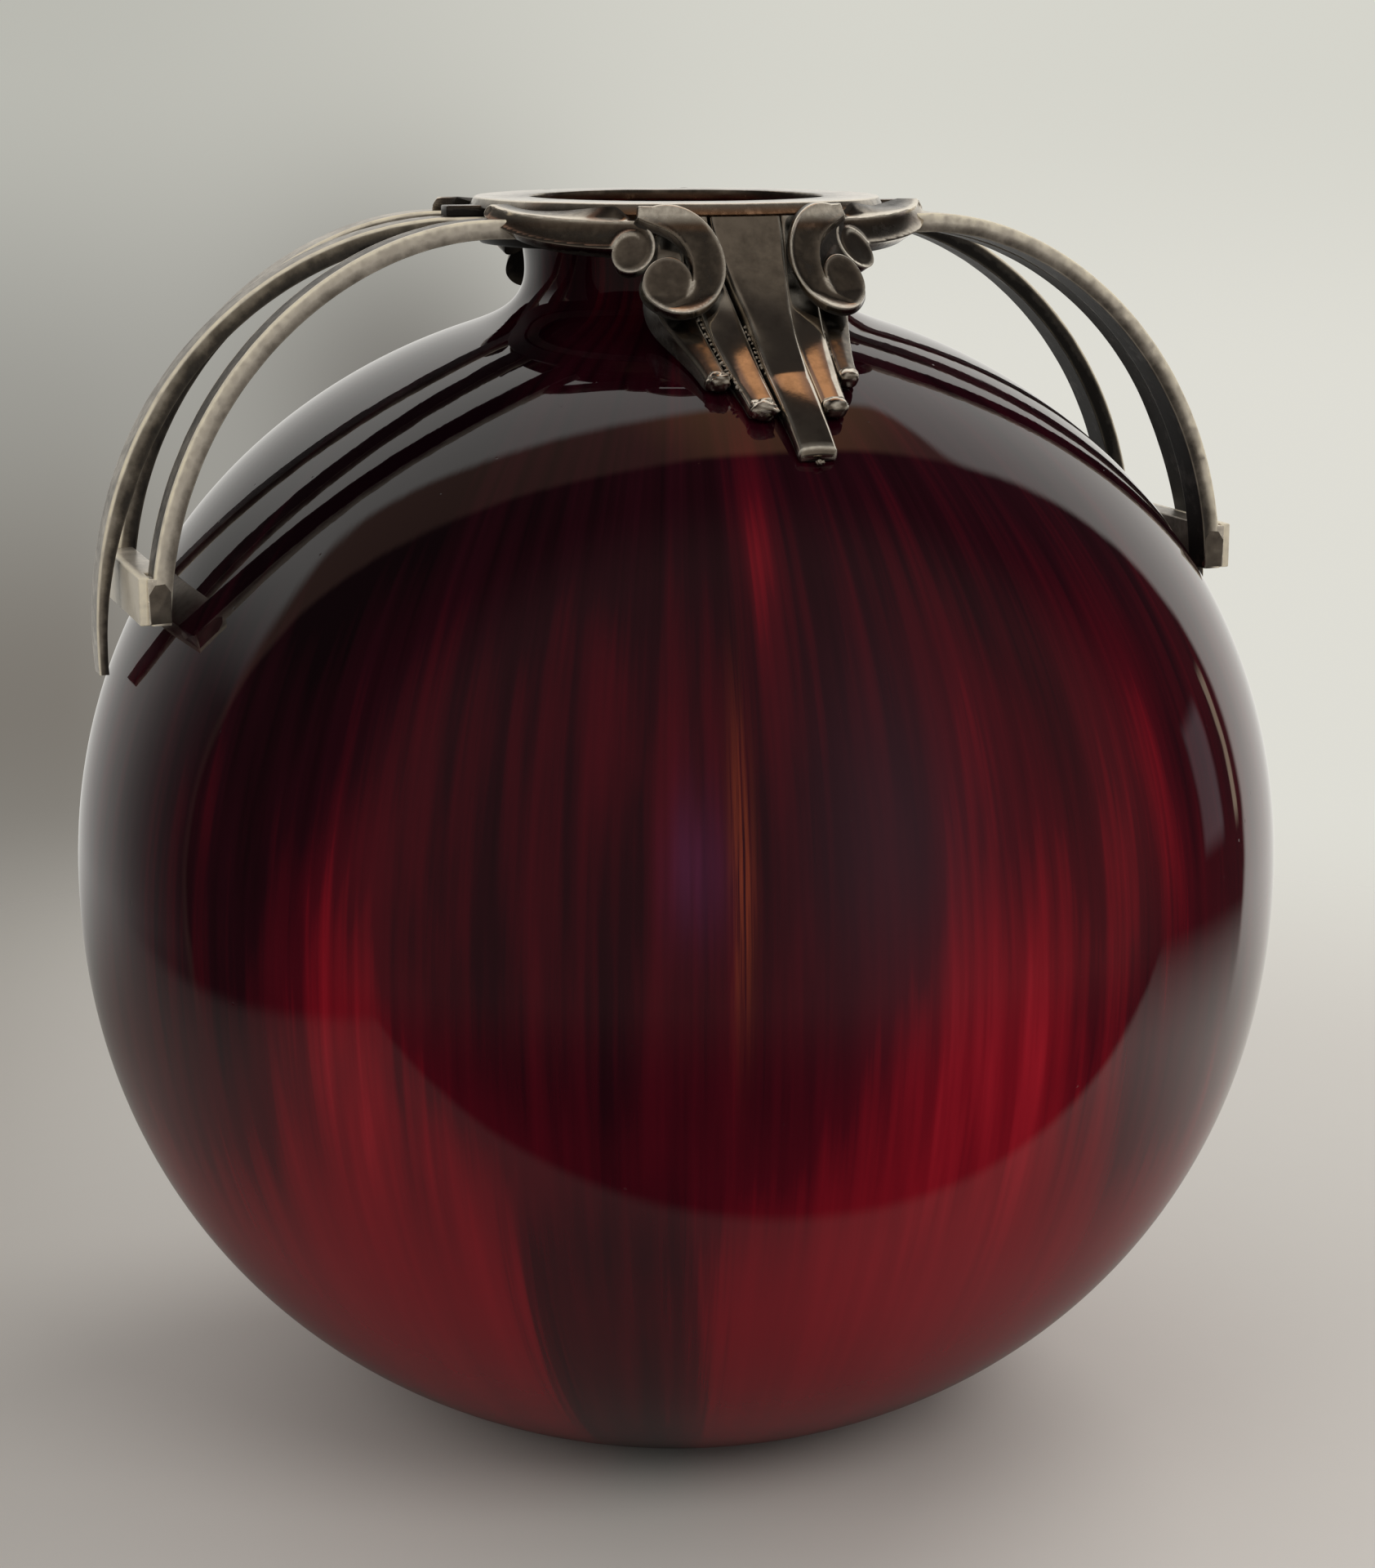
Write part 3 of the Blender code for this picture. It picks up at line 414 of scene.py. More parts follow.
def meshFromTree(name, points, edges, tree, inputs):
    mesh = bpy.data.meshes.new(name + "Line")
    mesh.from_pydata(points, edges, [])
    line = bpy.data.objects.new(name + "Line", mesh)
    scene.collection.objects.link(line)
    modifier = line.modifiers.new("make", "NODES")
    modifier.node_group = tree
    for item in tree.interface.items_tree:
        if item.in_out == "INPUT" and item.name in inputs:
            modifier[item.identifier] = inputs[item.name]
    evaluated = line.evaluated_get(bpy.context.evaluated_depsgraph_get())
    made = bpy.data.meshes.new_from_object(evaluated)
    made.name = name
    line.modifiers.remove(modifier)
    bpy.data.objects.remove(line, do_unlink=True)
    return made


class Tree(Nodes):
    def __init__(self, name, inputs):
        self.group = bpy.data.node_groups.new(name, "GeometryNodeTree")
        Nodes.__init__(self, self.group)
        self.group.interface.new_socket("Geometry", in_out="INPUT", socket_type="NodeSocketGeometry")
        for label, kind in inputs:
            self.group.interface.new_socket(label, in_out="INPUT", socket_type=kind)
        self.group.interface.new_socket("Geometry", in_out="OUTPUT", socket_type="NodeSocketGeometry")
        self.entry = self.group.nodes.new("NodeGroupInput")

    def given(self, label):
        return Val(self, self.entry.outputs[label])

    def close(self, made):
        self.put(self.group.nodes.new("NodeGroupOutput").inputs["Geometry"], made)
        return self.group


spindle = 0.05  # radius of the ring that a profile is carried round


def makeTurningTree():
    t = Tree("turnProfile", [("Segments", "NodeSocketInt"), ("Finish", "NodeSocketMaterial")])
    profile = t.add("GeometryNodeMeshToCurve", None, {"Mesh": t.given("Geometry")})
    ring = t.add("GeometryNodeCurvePrimitiveCircle", {"mode": "RADIUS"},
                 {"Resolution": t.given("Segments"), "Radius": spindle})
    skin = t.add("GeometryNodeCurveToMesh", None, {"Curve": ring, "Profile Curve": profile})
    skin = t.add("GeometryNodeMergeByDistance", None, {"Geometry": skin, "Distance": 0.000002})
    skin = t.add("GeometryNodeRealizeInstances", None, {"Geometry": skin})
    return t.close(t.add("GeometryNodeSetMaterial", None, {"Geometry": skin, "Material": t.given("Finish")}))


turningTree = makeTurningTree()


def turned(name, profile, closed, segments, material, smoothAngle):
    points = [(radius - spindle, -(centreZ + rise), 0.0) for radius, rise in profile]
    edges = [(i, i + 1) for i in range(len(points) - 1)] + ([(len(points) - 1, 0)] if closed else [])
    made = meshFromTree(name, points, edges, turningTree, {"Segments": segments, "Finish": material})
    bm = bmesh.new()
    bm.from_mesh(made)
    return finishMesh(name, bm, smoothAngle)


# The ball: foot, belly, shoulder, neck and the inside
def quarter(radius, rise, power, start, end, count):
    points = []
    for t in shares(count):
        angle = start + (end - start) * t
        across, up = (abs(wave(angle)) ** (2.0 / power) for wave in (math.sin, math.cos))
        points.append((radius * across, rise * up))
    return points


def makeBall():
    b = ball
    level = math.pi / 2
    down, up = (0.0, -1.0), (0.0, 1.0)
    neckFoot = (neckFootRadius, ballHeight(neckFootRadius))
    waist = (b["neckRadius"], neckFoot[1] + b["waistShare"] * b["neckHeight"])
    outward = ballNormal(neckFootRadius)
    start = math.asin((neckFootRadius / b["radius"]) ** (b["shoulderPower"] / 2.0))
    end = math.asin((b["footRadius"] / b["radius"]) ** (b["bellyPower"] / 2.0))
    outer = curveFrom((lipRadius, lipRise), down, waist, down, b["neckStiffness"], 14)
    outer += curveFrom(waist, down, neckFoot, (outward.y, -outward.x), b["spreadStiffness"], 24)[1:]
    outer += quarter(b["radius"], b["shoulderRise"], b["shoulderPower"], start, level, 56)[1:]
    outer += quarter(b["radius"], -b["bellyDrop"], b["bellyPower"], level, math.pi - end, 56)[1:]
    innerRadius = b["radius"] - b["wall"]
    innerDrop = centreZ - b["wall"] - b["footRecess"]
    vaultEnd = math.asin((neckFootRadius / innerRadius) ** (b["shoulderPower"] / 2.0))
    inner = quarter(innerRadius, -innerDrop, b["bellyPower"], 0.0, level, 32)
    inner += quarter(innerRadius, b["shoulderRise"] - b["wall"], b["shoulderPower"], level, vaultEnd, 28)[1:]
    throat = (b["neckRadius"] - b["neckWall"], waist[1])
    inner += curveFrom(inner[-1], leanWay(180.0 + b["vaultLean"]), throat, up, b["throatStiffness"], 14)[1:]
    lip = [(lipRadius - 0.5 * b["neckWall"] * (1.0 + math.cos(math.pi * t)),
            lipRise - b["lipRound"] * (1.0 - math.sin(math.pi * t))) for t in shares(8)]
    footRim = b["footRadius"] - b["footWidth"]
    sole = b["footRecess"] - centreZ
    foot = [(footRim, -centreZ), (footRim - b["footRecess"], sole), (0.0, sole)]
    mesh = turned("glazedBall", inner + lip + outer[1:] + foot, False, b["segments"], glazeMaterial, 40.0)
    addPiece("glazedBall", mesh, glazeMaterial, "ceramic_body", slot="red_glaze")


makeBall()
print("ball turned")

# Collar: a spool with a splayed rim, a wall and a lower flange
collar = {
    "rimThickness": 0.0022, "rimLift": 0.0007, "rimOverhang": 0.0033, "rimSplay": 0.0012, "rimCover": 0.0025,
    "wall": 0.0022, "bedding": 0.0024, "flangeStep": 0.0023, "flangeThickness": 0.0018,
    "lugLength": 0.0078, "lugWidth": 0.0048, "lugDrop": 0.0014, "lugRound": 0.00035, "edgeRound": 0.00045,
    "segments": 224, "beaten": 0.00012, "beatScale": 55.0,
    "shine": 0.75, "shineWidth": 0.00042, "paintedReflectionReach": 0.027, "paintedReflectionFade": 0.006,
    "underPaintedShade": 1.4, "faceTarnish": 0.62, "mouthTarnish": 0.5, "topTarnish": 0.15,
}
bars = {
    "thickness": 0.0032, "width": 0.0064, "round": 0.0008, "innerRound": 0.0003, "rootDrop": 0.0035,
    "handleWidth": 0.0484, "blockHeight": 0.0093, "blockRound": 0.00035, "stations": 90, "leadStations": 8,
    "unevenness": 0.00007, "filled": 0.0006,  # the silver was cast a little full
    "side": {"level": 0.006, "crownRun": 0.031, "crownDrop": 0.004, "bellyLift": 0.0451, "footRise": 0.0589,
             "standoff": 0.0039, "tuck": -0.0011},
    "middle": {"level": 0.002, "crownRun": 0.0372, "crownDrop": 0.0065, "bellyLift": 0.053, "footRise": 0.046,
               "standoff": 0.0045, "tuck": 0.004},
    # tarnish and painted shade on a bar's sides at the top and at the foot and on its outer face, and how
    # strong the painted highlight on its filed sides is
    "barTarnishAndPaintedLight": {"right_front": (0.1, 0.45, 0.1, 0.9), "right_rear": (0.9, 0.95, 0.4, 0.0),
                 "right_middle": (0.75, 0.8, 0.3, 0.1), "left_front": (0.02, 0.06, 0.72, 0.5),
                 "left_rear": (0.5, 0.6, 0.3, 0.2), "left_middle": (0.72, 0.45, 0.45, 0.25)},
    # tarnish and painted shade on each cross block
    "blockTarnishAndPaintedShade": {"right": 0.5, "left": 0.2},
}
collarInner = lipRadius + gap + collar["bedding"] + gap
collarOuter = collarInner + collar["wall"]
flangeRadius = collarOuter + collar["flangeStep"]
rimRadius = collarOuter + collar["rimOverhang"]
rimUnderRadius = rimRadius + collar["rimSplay"]
rimMouthRadius = lipRadius - collar["rimCover"]
lugReach = rimRadius + collar["lugLength"]
rimUnderRise = lipRise + collar["rimLift"]
rimRise = rimUnderRise + collar["rimThickness"]
middleRootDrop = collar["lugDrop"] + collar["rimThickness"] + gap
flangeTop = rimRise - max(bars["rootDrop"], middleRootDrop) - bars["thickness"] - gap
flangeBottom = flangeTop - collar["flangeThickness"]


def roundedLoop(points, radius, steps):  # closed outline with each corner rounded
    loop = []
    for i, corner in enumerate(points):
        before, after = points[i - 1], points[(i + 1) % len(points)]
        toBefore = Vector(before) - Vector(corner)
        toAfter = Vector(after) - Vector(corner)
        cut = min(radius, 0.45 * toBefore.length, 0.45 * toAfter.length)
        a = Vector(corner) + toBefore.normalized() * cut
        c = Vector(corner) + toAfter.normalized() * cut
        for t in shares(steps):
            loop.append(tuple((1 - t) ** 2 * a + 2 * t * (1 - t) * Vector(corner) + t * t * c))
    return loop


def tagMesh(mesh, **tags):
    for name, values in tags.items():
        mesh.attributes.new(name, "FLOAT", "POINT").data.foreach_set("value", values)


def makeBlockOf(bm, low, high, rounding):
    made = bmesh.ops.create_cube(bm, size=1.0)["verts"]
    size = Vector(high) - Vector(low)
    middle = 0.5 * (Vector(high) + Vector(low))
    for vert in made:
        vert.co = Vector((vert.co.x * size.x, vert.co.y * size.y, vert.co.z * size.z)) + middle
    edges = list({edge for vert in made for edge in vert.link_edges})
    bmesh.ops.bevel(bm, geom=edges, offset=rounding, segments=3, profile=0.5, affect="EDGES")


def makeCollar():
    c = collar
    corners = [(rimMouthRadius, rimRise), (rimRadius, rimRise), (rimUnderRadius, rimUnderRise),
               (collarOuter, rimUnderRise), (collarOuter, flangeTop), (flangeRadius, flangeTop),
               (flangeRadius, flangeBottom), (collarInner, flangeBottom), (collarInner, rimUnderRise),
               (rimMouthRadius, rimUnderRise)]
    outline = roundedLoop(corners, c["edgeRound"], 5)
    bm = bmesh.new()
    bm.from_mesh(turned("collarSpool", outline, True, c["segments"], silverMaterial, 50.0))
    top = centreZ + rimRise - c["lugDrop"]
    half = 0.5 * c["lugWidth"]
    for side in (1, -1):
        low, high = sorted((side * 0.5 * (collarOuter + flangeRadius), side * lugReach))
        makeBlockOf(bm, (low, -half, top - c["rimThickness"]), (high, half, top), c["lugRound"])
    for vert in bm.verts:  # hand-beaten, so the plate isn't dead true
        wave = noise.noise(vert.co * c["beatScale"]) * c["beaten"]
        vert.co.z += wave if vert.co.z < centreZ + rimRise - 0.0001 else min(wave, 0.0)
    mesh = finishMesh("collarSpool", bm, 50.0)
    edge, recess, stain = [], [], []
    for vert in mesh.vertices:
        radius = math.hypot(vert.co.x, vert.co.y)
        rise = vert.co.z - centreZ
        nearRim = math.hypot(radius - rimRadius, rise - rimRise)
        # a painted highlight along the outer edge of the rim
        edge.append(c["shine"] * math.exp(-(nearRim / c["shineWidth"]) ** 2))
        # an orange painted reflection in a band under the front of the rim
        across = ease((c["paintedReflectionReach"] - abs(vert.co.x)) / c["paintedReflectionFade"])
        stain.append(across * ease((rimRise - 0.0005 - rise) / 0.0008))
        # the underside is painted black as shade
        if rise < rimUnderRise - 0.0002:
            recess.append(c["underPaintedShade"])
        elif radius > rimRadius - 0.0003 and rise < rimRise - 0.0002:
            recess.append(c["faceTarnish"])
        else:
            recess.append(c["mouthTarnish"] if radius < lipRadius + 0.001 else c["topTarnish"])
    tagMesh(mesh, edge=edge, recess=recess, stain=stain)
    addPiece("collarSpool", mesh, silverMaterial, "collar")


makeCollar()
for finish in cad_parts["bedding_ring"].material_slots:
    finish.material = plasterMaterial
print("collar made")


# Handles: three bars and a cross block on each side
def loft(name, rings, edge, recess, smoothAngle):
    bm, (edgeLayer, recessLayer) = startMesh("edge", "recess")
    rows = []
    for ring, edgeRow, recessRow in zip(rings, edge, recess):
        rows.append([bm.verts.new(point) for point in ring])
        for vert, worn, deep in zip(rows[-1], edgeRow, recessRow):
            vert[edgeLayer] = worn
            vert[recessLayer] = deep
    for lower, upper in zip(rows, rows[1:]):
        joinRings(bm, lower, upper)
    for end in (rows[0], rows[-1]):
        middle = bm.verts.new(sum((v.co for v in end), Vector()) / len(end))
        middle[recessLayer] = 0.3
        for i, vert in enumerate(end):
            bm.faces.new((vert, end[(i + 1) % len(end)], middle))
    return finishMesh(name, bm, smoothAngle)


def barPath(sizes, root, top, edge):
    spring = edge + sizes["level"]
    foot = ballRadiusAt(sizes["footRise"]) + sizes["standoff"]
    curve = [(spring, top), (spring + sizes["crownRun"], rimRise - sizes["crownDrop"]),
             (foot + sizes["tuck"], sizes["footRise"] + sizes["bellyLift"]), (foot, sizes["footRise"])]
    lead = [mixPoints((root, top), curve[0], t) for t in shares(bars["leadStations"])[:-1]]
    return lead + [bezier(*curve, t) for t in shares(bars["stations"])]


innerSide = 0.5 * bars["handleWidth"] - bars["width"]
sideRoot = math.sqrt((collarOuter + gap) ** 2 - innerSide ** 2)
sidePath = barPath(bars["side"], sideRoot, rimRise - bars["rootDrop"], flangeRadius)
middlePath = barPath(bars["middle"], collarOuter + gap, rimRise - middleRootDrop, lugReach)
blockLow = bars["side"]["footRise"]
blockHigh = blockLow + bars["blockHeight"]


def barOutline(half, thickness):  # across, depth, how worn and highlighted a corner is, which face: 0 outer, 1 side, 2 inner
    points = []

    def arc(centre, radius, start, worn):
        for t in shares(7):
            angle = math.radians(start - 90.0 * t)
            points.append((centre[0] + radius * math.cos(angle), centre[1] + radius * math.sin(angle),
                           worn * math.exp(-((t - 0.5) / 0.34) ** 2), 1))

    big, small = bars["round"], bars["innerRound"]
    for t in shares(6):
        points.append(((2 * t - 1) * (half - big - 0.0003), 0.0, 0.0, 0))
    arc((half - big, -big), big, 90.0, 1.0)
    for t in shares(4):
        points.append((half, -big - 0.0003 - (thickness - big - small - 0.0006) * t, 0.0, 1))
    arc((half - small, small - thickness), small, 0.0, 0.3)
    for t in shares(4):
        points.append(((1 - 2 * t) * (half - small - 0.0002), -thickness, 0.0, 2))
    arc((small - half, small - thickness), small, -90.0, 0.3)
    for t in shares(4):
        points.append((-half, small + 0.0003 - thickness + (thickness - big - small - 0.0006) * t, 0.0, 1))
    arc((big - half, -big), big, 180.0, 1.0)
    return points


def makeBarMesh(name, path, across, seed, tarnishAndPaintedShadeTop, tarnishAndPaintedShadeFoot, tarnishAndPaintedShadeOuter, filedHighlightStrength, taper=0.0):
    fill = bars["filled"]
    thickness = bars["thickness"] + fill
    half = 0.5 * bars["width"] + fill
    outline = barOutline(half, thickness)
    rings, edge, recess = [], [], []
    for i, point in enumerate(path):
        before, after = path[max(i - 1, 0)], path[min(i + 1, len(path) - 1)]
        along = Vector((after[0] - before[0], after[1] - before[1])).normalized()
        if i == len(path) - 1:
            along = Vector((0.0, -1.0))
        normal = (-along.y, along.x)
        t = i / (len(path) - 1)
        thin = 1.0 - taper * ease((t - 0.72) / 0.28)  # the inner side draws out to a tongue
        narrow = 1.0 - 0.35 * taper * ease((t - 0.96) / 0.04) ** 2
        tarnishAndPaintedShadeSide = tarnishAndPaintedShadeTop + (tarnishAndPaintedShadeFoot - tarnishAndPaintedShadeTop) * t
        ring, edgeRow, recessRow = [], [], []
        for u, depth, worn, face in outline:
            spot = Vector((point[0] * 160 + seed, u * 300, point[1] * 160))
            wobble = bars["unevenness"] * abs(noise.noise(spot))
            inward = depth * thin - wobble + 0.5 * fill
            sideways = across + (u - math.copysign(0.5 * wobble, u)) * narrow
            ring.append((point[0] + normal[0] * inward, sideways, centreZ + point[1] + normal[1] * inward))
            down = -depth / thickness
            # the filed side carries a painted highlight towards its outer edge
            filed = 0.0
            if face == 1:
                filed = filedHighlightStrength * max(1.0 - down / 0.62, 0.0) * (0.75 + 0.9 * noise.noise(spot * 6.0))
            edgeRow.append(max(worn * (0.9 + 0.5 * noise.noise(spot * 1.7)), filed, 0.0))
            # tarnish and painted shade: the inner face is painted black and the side darkens towards it
            tarnishAndPaintedLight = (tarnishAndPaintedShadeOuter + 0.3 * (u / half) ** 4, tarnishAndPaintedShadeSide + 0.8 * max(down - 0.4, 0.0), 1.1)[face]
            recessRow.append(tarnishAndPaintedLight * (1.0 - 0.8 * worn))
        rings.append(ring)
        edge.append(edgeRow)
        recess.append(recessRow)
    return loft(name, rings, edge, recess, 50.0)


def pathRange(path, low, high):
    found = [point[0] for point in path if low - 0.0004 <= point[1] <= high + 0.0004]
    return min(found), max(found)


def makeCrossBlock(tarnishAndPaintedLight):
    nearest, farthest = pathRange(sidePath, blockLow, blockHigh)
    outer = pathRange(middlePath, blockLow, blockHigh)[0] - bars["thickness"] - 2 * gap
    back = farthest + gap
    half = 0.5 * bars["handleWidth"]
    between = innerSide - gap
    inner = max(ballRadiusAt(blockLow) + gap, nearest - bars["thickness"])
    outline = [(outer, -half), (outer, half), (back, half), (back, between), (inner, between),
               (inner, -between), (back, -between), (back, -half)]
    bm = bmesh.new()
    face = bm.faces.new([bm.verts.new((x, y, blockLow + centreZ)) for x, y in outline])
    raised = bmesh.ops.extrude_face_region(bm, geom=[face])
    top = [part for part in raised["geom"] if isinstance(part, bmesh.types.BMVert)]
    bmesh.ops.translate(bm, vec=(0.0, 0.0, bars["blockHeight"]), verts=top)
    bmesh.ops.recalc_face_normals(bm, faces=bm.faces)
    bmesh.ops.bevel(bm, geom=list(bm.edges), offset=bars["blockRound"], segments=3, profile=0.5,
                    affect="EDGES")
    mesh = finishMesh("crossBlock", bm, 50.0)
    edge = []
    for vert in mesh.vertices:
        rise = vert.co.z - centreZ
        ends = min(abs(abs(vert.co.y) - half), 0.002)
        rims = min(abs(rise - blockLow), abs(rise - blockHigh), 0.002)
        edge.append(math.exp(-((ends + rims) / 0.0006) ** 2))
    # the edges are worn and carry painted highlights; one level of tarnish and painted shade covers the whole
    # block
    tagMesh(mesh, edge=edge, recess=[tarnishAndPaintedLight] * len(edge))
    return mesh


# Solder between a bar's foot and the block, with a cut-off peg end over it
footJoint = {
    "inner": 0.0006, "outer": 0.0005, "inset": 0.0003, "depth": 0.005, "proud": 0.00004, "round": 0.0002,
    "shine": 0.6,
    # the peg end, from the middle of the bar and up from its foot
    "peg": [(-0.0021, 0.0005), (0.0019, 0.0003), (0.0021, 0.0060), (0.0009, 0.0078), (-0.0010, 0.0080),
            (-0.0021, 0.0064)],
    "pegMiddle": 0.0041, "pegTarnish": 0.62, "pegLayers": [(0.0012, 1.0), (-0.00002, 1.0), (-0.00010, 0.94)],
}


def makeFootJoint(hand):
    j = footJoint
    inner, outer = pathRange(sidePath, blockLow, blockHigh)
    front = -0.5 * bars["handleWidth"] - bars["filled"]
    foot = centreZ + blockLow
    bm, (edgeLayer, recessLayer) = startMesh("edge", "recess")
    low = (inner - j["inner"], front + j["proud"], foot + j["inset"])
    high = (outer + gap + j["outer"], front + j["depth"], foot + bars["blockHeight"] - j["inset"])
    makeBlockOf(bm, low, high, j["round"])
    for vert in bm.verts:
        vert[edgeLayer] = j["shine"]
    middle = inner - 0.25 * bars["thickness"]
    rings = []
    for out, size in j["pegLayers"]:
        ring = []
        for x, z in j["peg"]:
            rise = foot + j["pegMiddle"] + (z - j["pegMiddle"]) * size
            vert = bm.verts.new((middle + x * size, front + out, rise))
            vert[recessLayer] = j["pegTarnish"]
            ring.append(vert)
        rings.append(ring)
    for lower, upper in zip(rings, rings[1:]):
        joinRings(bm, lower, upper)
    bm.faces.new(rings[0])
    bm.faces.new(rings[-1])
    for vert in bm.verts:
        vert.co.x = hand * abs(vert.co.x)
    return finishMesh("footJoint", bm, 30.0)


def makeHandles():
    offset = 0.5 * (bars["handleWidth"] - bars["width"])
    for number, (label, tarnishAndPaintedLight) in enumerate(bars["barTarnishAndPaintedLight"].items()):
        hand, place = label.split("_")
        seed = 3.0 + 4.7 * number
        if place == "middle":
            mesh = makeBarMesh("middleBar", middlePath, 0.0, seed, *tarnishAndPaintedLight, taper=0.5)
        else:
            across = offset if (place == "rear") == (hand == "right") else -offset
            mesh = makeBarMesh("sideBar", sidePath, across, seed, *tarnishAndPaintedLight)
        mesh = mesh if hand == "right" else turnedHalf(mesh)
        addPiece(hand + "Bar" + place.title(), mesh, barMaterial, label + "_bar")
    for hand, tarnishAndPaintedLight in bars["blockTarnishAndPaintedShade"].items():
        block = makeCrossBlock(tarnishAndPaintedLight)
        block = block if hand == "right" else turnedHalf(block)
        addPiece(hand + "CrossBlock", block, barMaterial, hand + "_cross_block")
    for hand, other, side in (("right", "left", 1), ("left", "right", -1)):
        joint = makeFootJoint(side)
        addPiece(hand + "FootJointFront", joint, solderMaterial)
        addPiece(other + "FootJointRear", turnedHalf(joint), solderMaterial)


makeHandles()
print("handles made")

# Flutes: five hollow strips that lean from the rim to the shoulder
flutes = {
    "topLean": 26.6, "footLean": 51.3, "stiffness": 0.29, "backStiffness": 0.5, "bendShare": 0.22,
    "landing": 0.0240, "seat": 0.0006, "stations": 44, "toeStations": 22, "toeSteps": 7,
    "thickness": 0.0044, "toeThickness": 0.0023, "hollow": 0.0005, "crown": 0.0005, "power": 2.2,
    "edgeRound": 0.0008, "toeRound": 0.0011, "space": 0.0004, "points": 26,
    # reach, widths at the top, half way and at the toe, share of the full depth, how dark it is
    "centre": (0.0411, (0.0142, 0.0084, 0.0074), 1.0, 0.1),
    "inner": (0.0311, (0.0047, 0.0070, 0.0054), 0.78, 0.1),
    "outer": (0.0232, (0.0041, 0.0068, 0.0044), 0.66, 0.7),
}


def pushed(point, normal, depth):
    return (point[0] + depth * normal.x, point[1] + depth * normal.y)


def mixSections(a, b, t):
    return tuple(mixPoints(p, q, t) for p, q in zip(a, b))


def seatOnBall(radius):
    return pushed((radius, ballHeight(radius)), ballNormal(radius), flutes["seat"])


def makeApron():  # sections from the rim to the longest toe, each a point on the back and one on the face
    f = flutes
    seat = flangeRadius + gap
    top = rimUnderRise - gap
    lands = flangeRadius + f["landing"]
    landing = seatOnBall(lands)
    normal = ballNormal(lands)
    faces = curveFrom((rimUnderRadius, top), leanWay(f["topLean"]), pushed(landing, normal, f["thickness"]),
                      leanWay(f["footLean"]), f["stiffness"], f["stations"])
    straight = round(f["bendShare"] * f["stations"])
    backs = [(seat, top + (flangeBottom - top) * t) for t in shares(straight)]
    backs += curveFrom((seat, flangeBottom), (0.0, -1.0), landing, (normal.y, -normal.x), f["backStiffness"],
                       f["stations"] - straight)[1:]
    sections = list(zip(backs, faces))
    for t in shares(f["toeStations"])[1:]:
        radius = lands + (f["centre"][0] - f["landing"]) * t
        back = seatOnBall(radius)
        depth = f["thickness"] + (f["toeThickness"] - f["thickness"]) * t
        sections.append((back, pushed(back, ballNormal(radius), depth)))
    return sections


apron = makeApron()


def cutApron(toeRadius):  # sections above a toe, then close ones that round the toe over
    turn = flutes["toeRound"]
    last = next(i for i, (back, _) in enumerate(apron) if back[0] >= toeRadius - 1e-6)
    upper, lower = apron[last - 1], apron[last]
    toe = mixSections(upper, lower, min((toeRadius - upper[0][0]) / (lower[0][0] - upper[0][0]), 1.0))
    kept = [section for section in apron[:last] if math.dist(toe[0], section[0]) > turn * 1.15]
    length = math.dist(toe[0], kept[-1][0])
    steps = [0.5 * math.pi * t for t in shares(flutes["toeSteps"])]
    ends = [mixSections(kept[-1], toe, 1.0 - turn * (1.0 - math.sin(step)) / length) for step in steps]
    return kept + ends, [0.0] * len(kept) + [turn * (1.0 - math.cos(step)) for step in steps]


def faceLengths(sections):
    lengths = [0.0]
    for (_, a), (_, b) in zip(sections, sections[1:]):
        lengths.append(lengths[-1] + math.dist(a, b))
    return lengths


fluteSections = {kind: cutApron(flangeRadius + flutes[kind][0]) for kind in ("centre", "inner", "outer")}
fluteLength = {kind: faceLengths(fluteSections[kind][0])[-1] for kind in fluteSections}


def fluteWidth(kind, length):
    top, middle, toe = flutes[kind][1]
    t = min(length / fluteLength[kind], 1.0)
    return top + (middle - top) * ease(2 * t) if t < 0.5 else middle + (toe - middle) * ease(2 * t - 1)


def fluteLimits(kind, length):
    centre = fluteWidth("centre", length)
    inner = fluteWidth("inner", length)
    start = 0.5 * centre + flutes["space"]
    if kind == "centre":
        return -0.5 * centre, 0.5 * centre
    if kind == "inner":
        return start, start + inner
    start += inner + flutes["space"]
    return start, start + fluteWidth("outer", length)


def flutePoint(lateral, back, way, lift):
    reach = back[0] + way.x * lift
    return (lateral, -math.sqrt(reach * reach - lateral * lateral), centreZ + back[1] + way.y * lift)


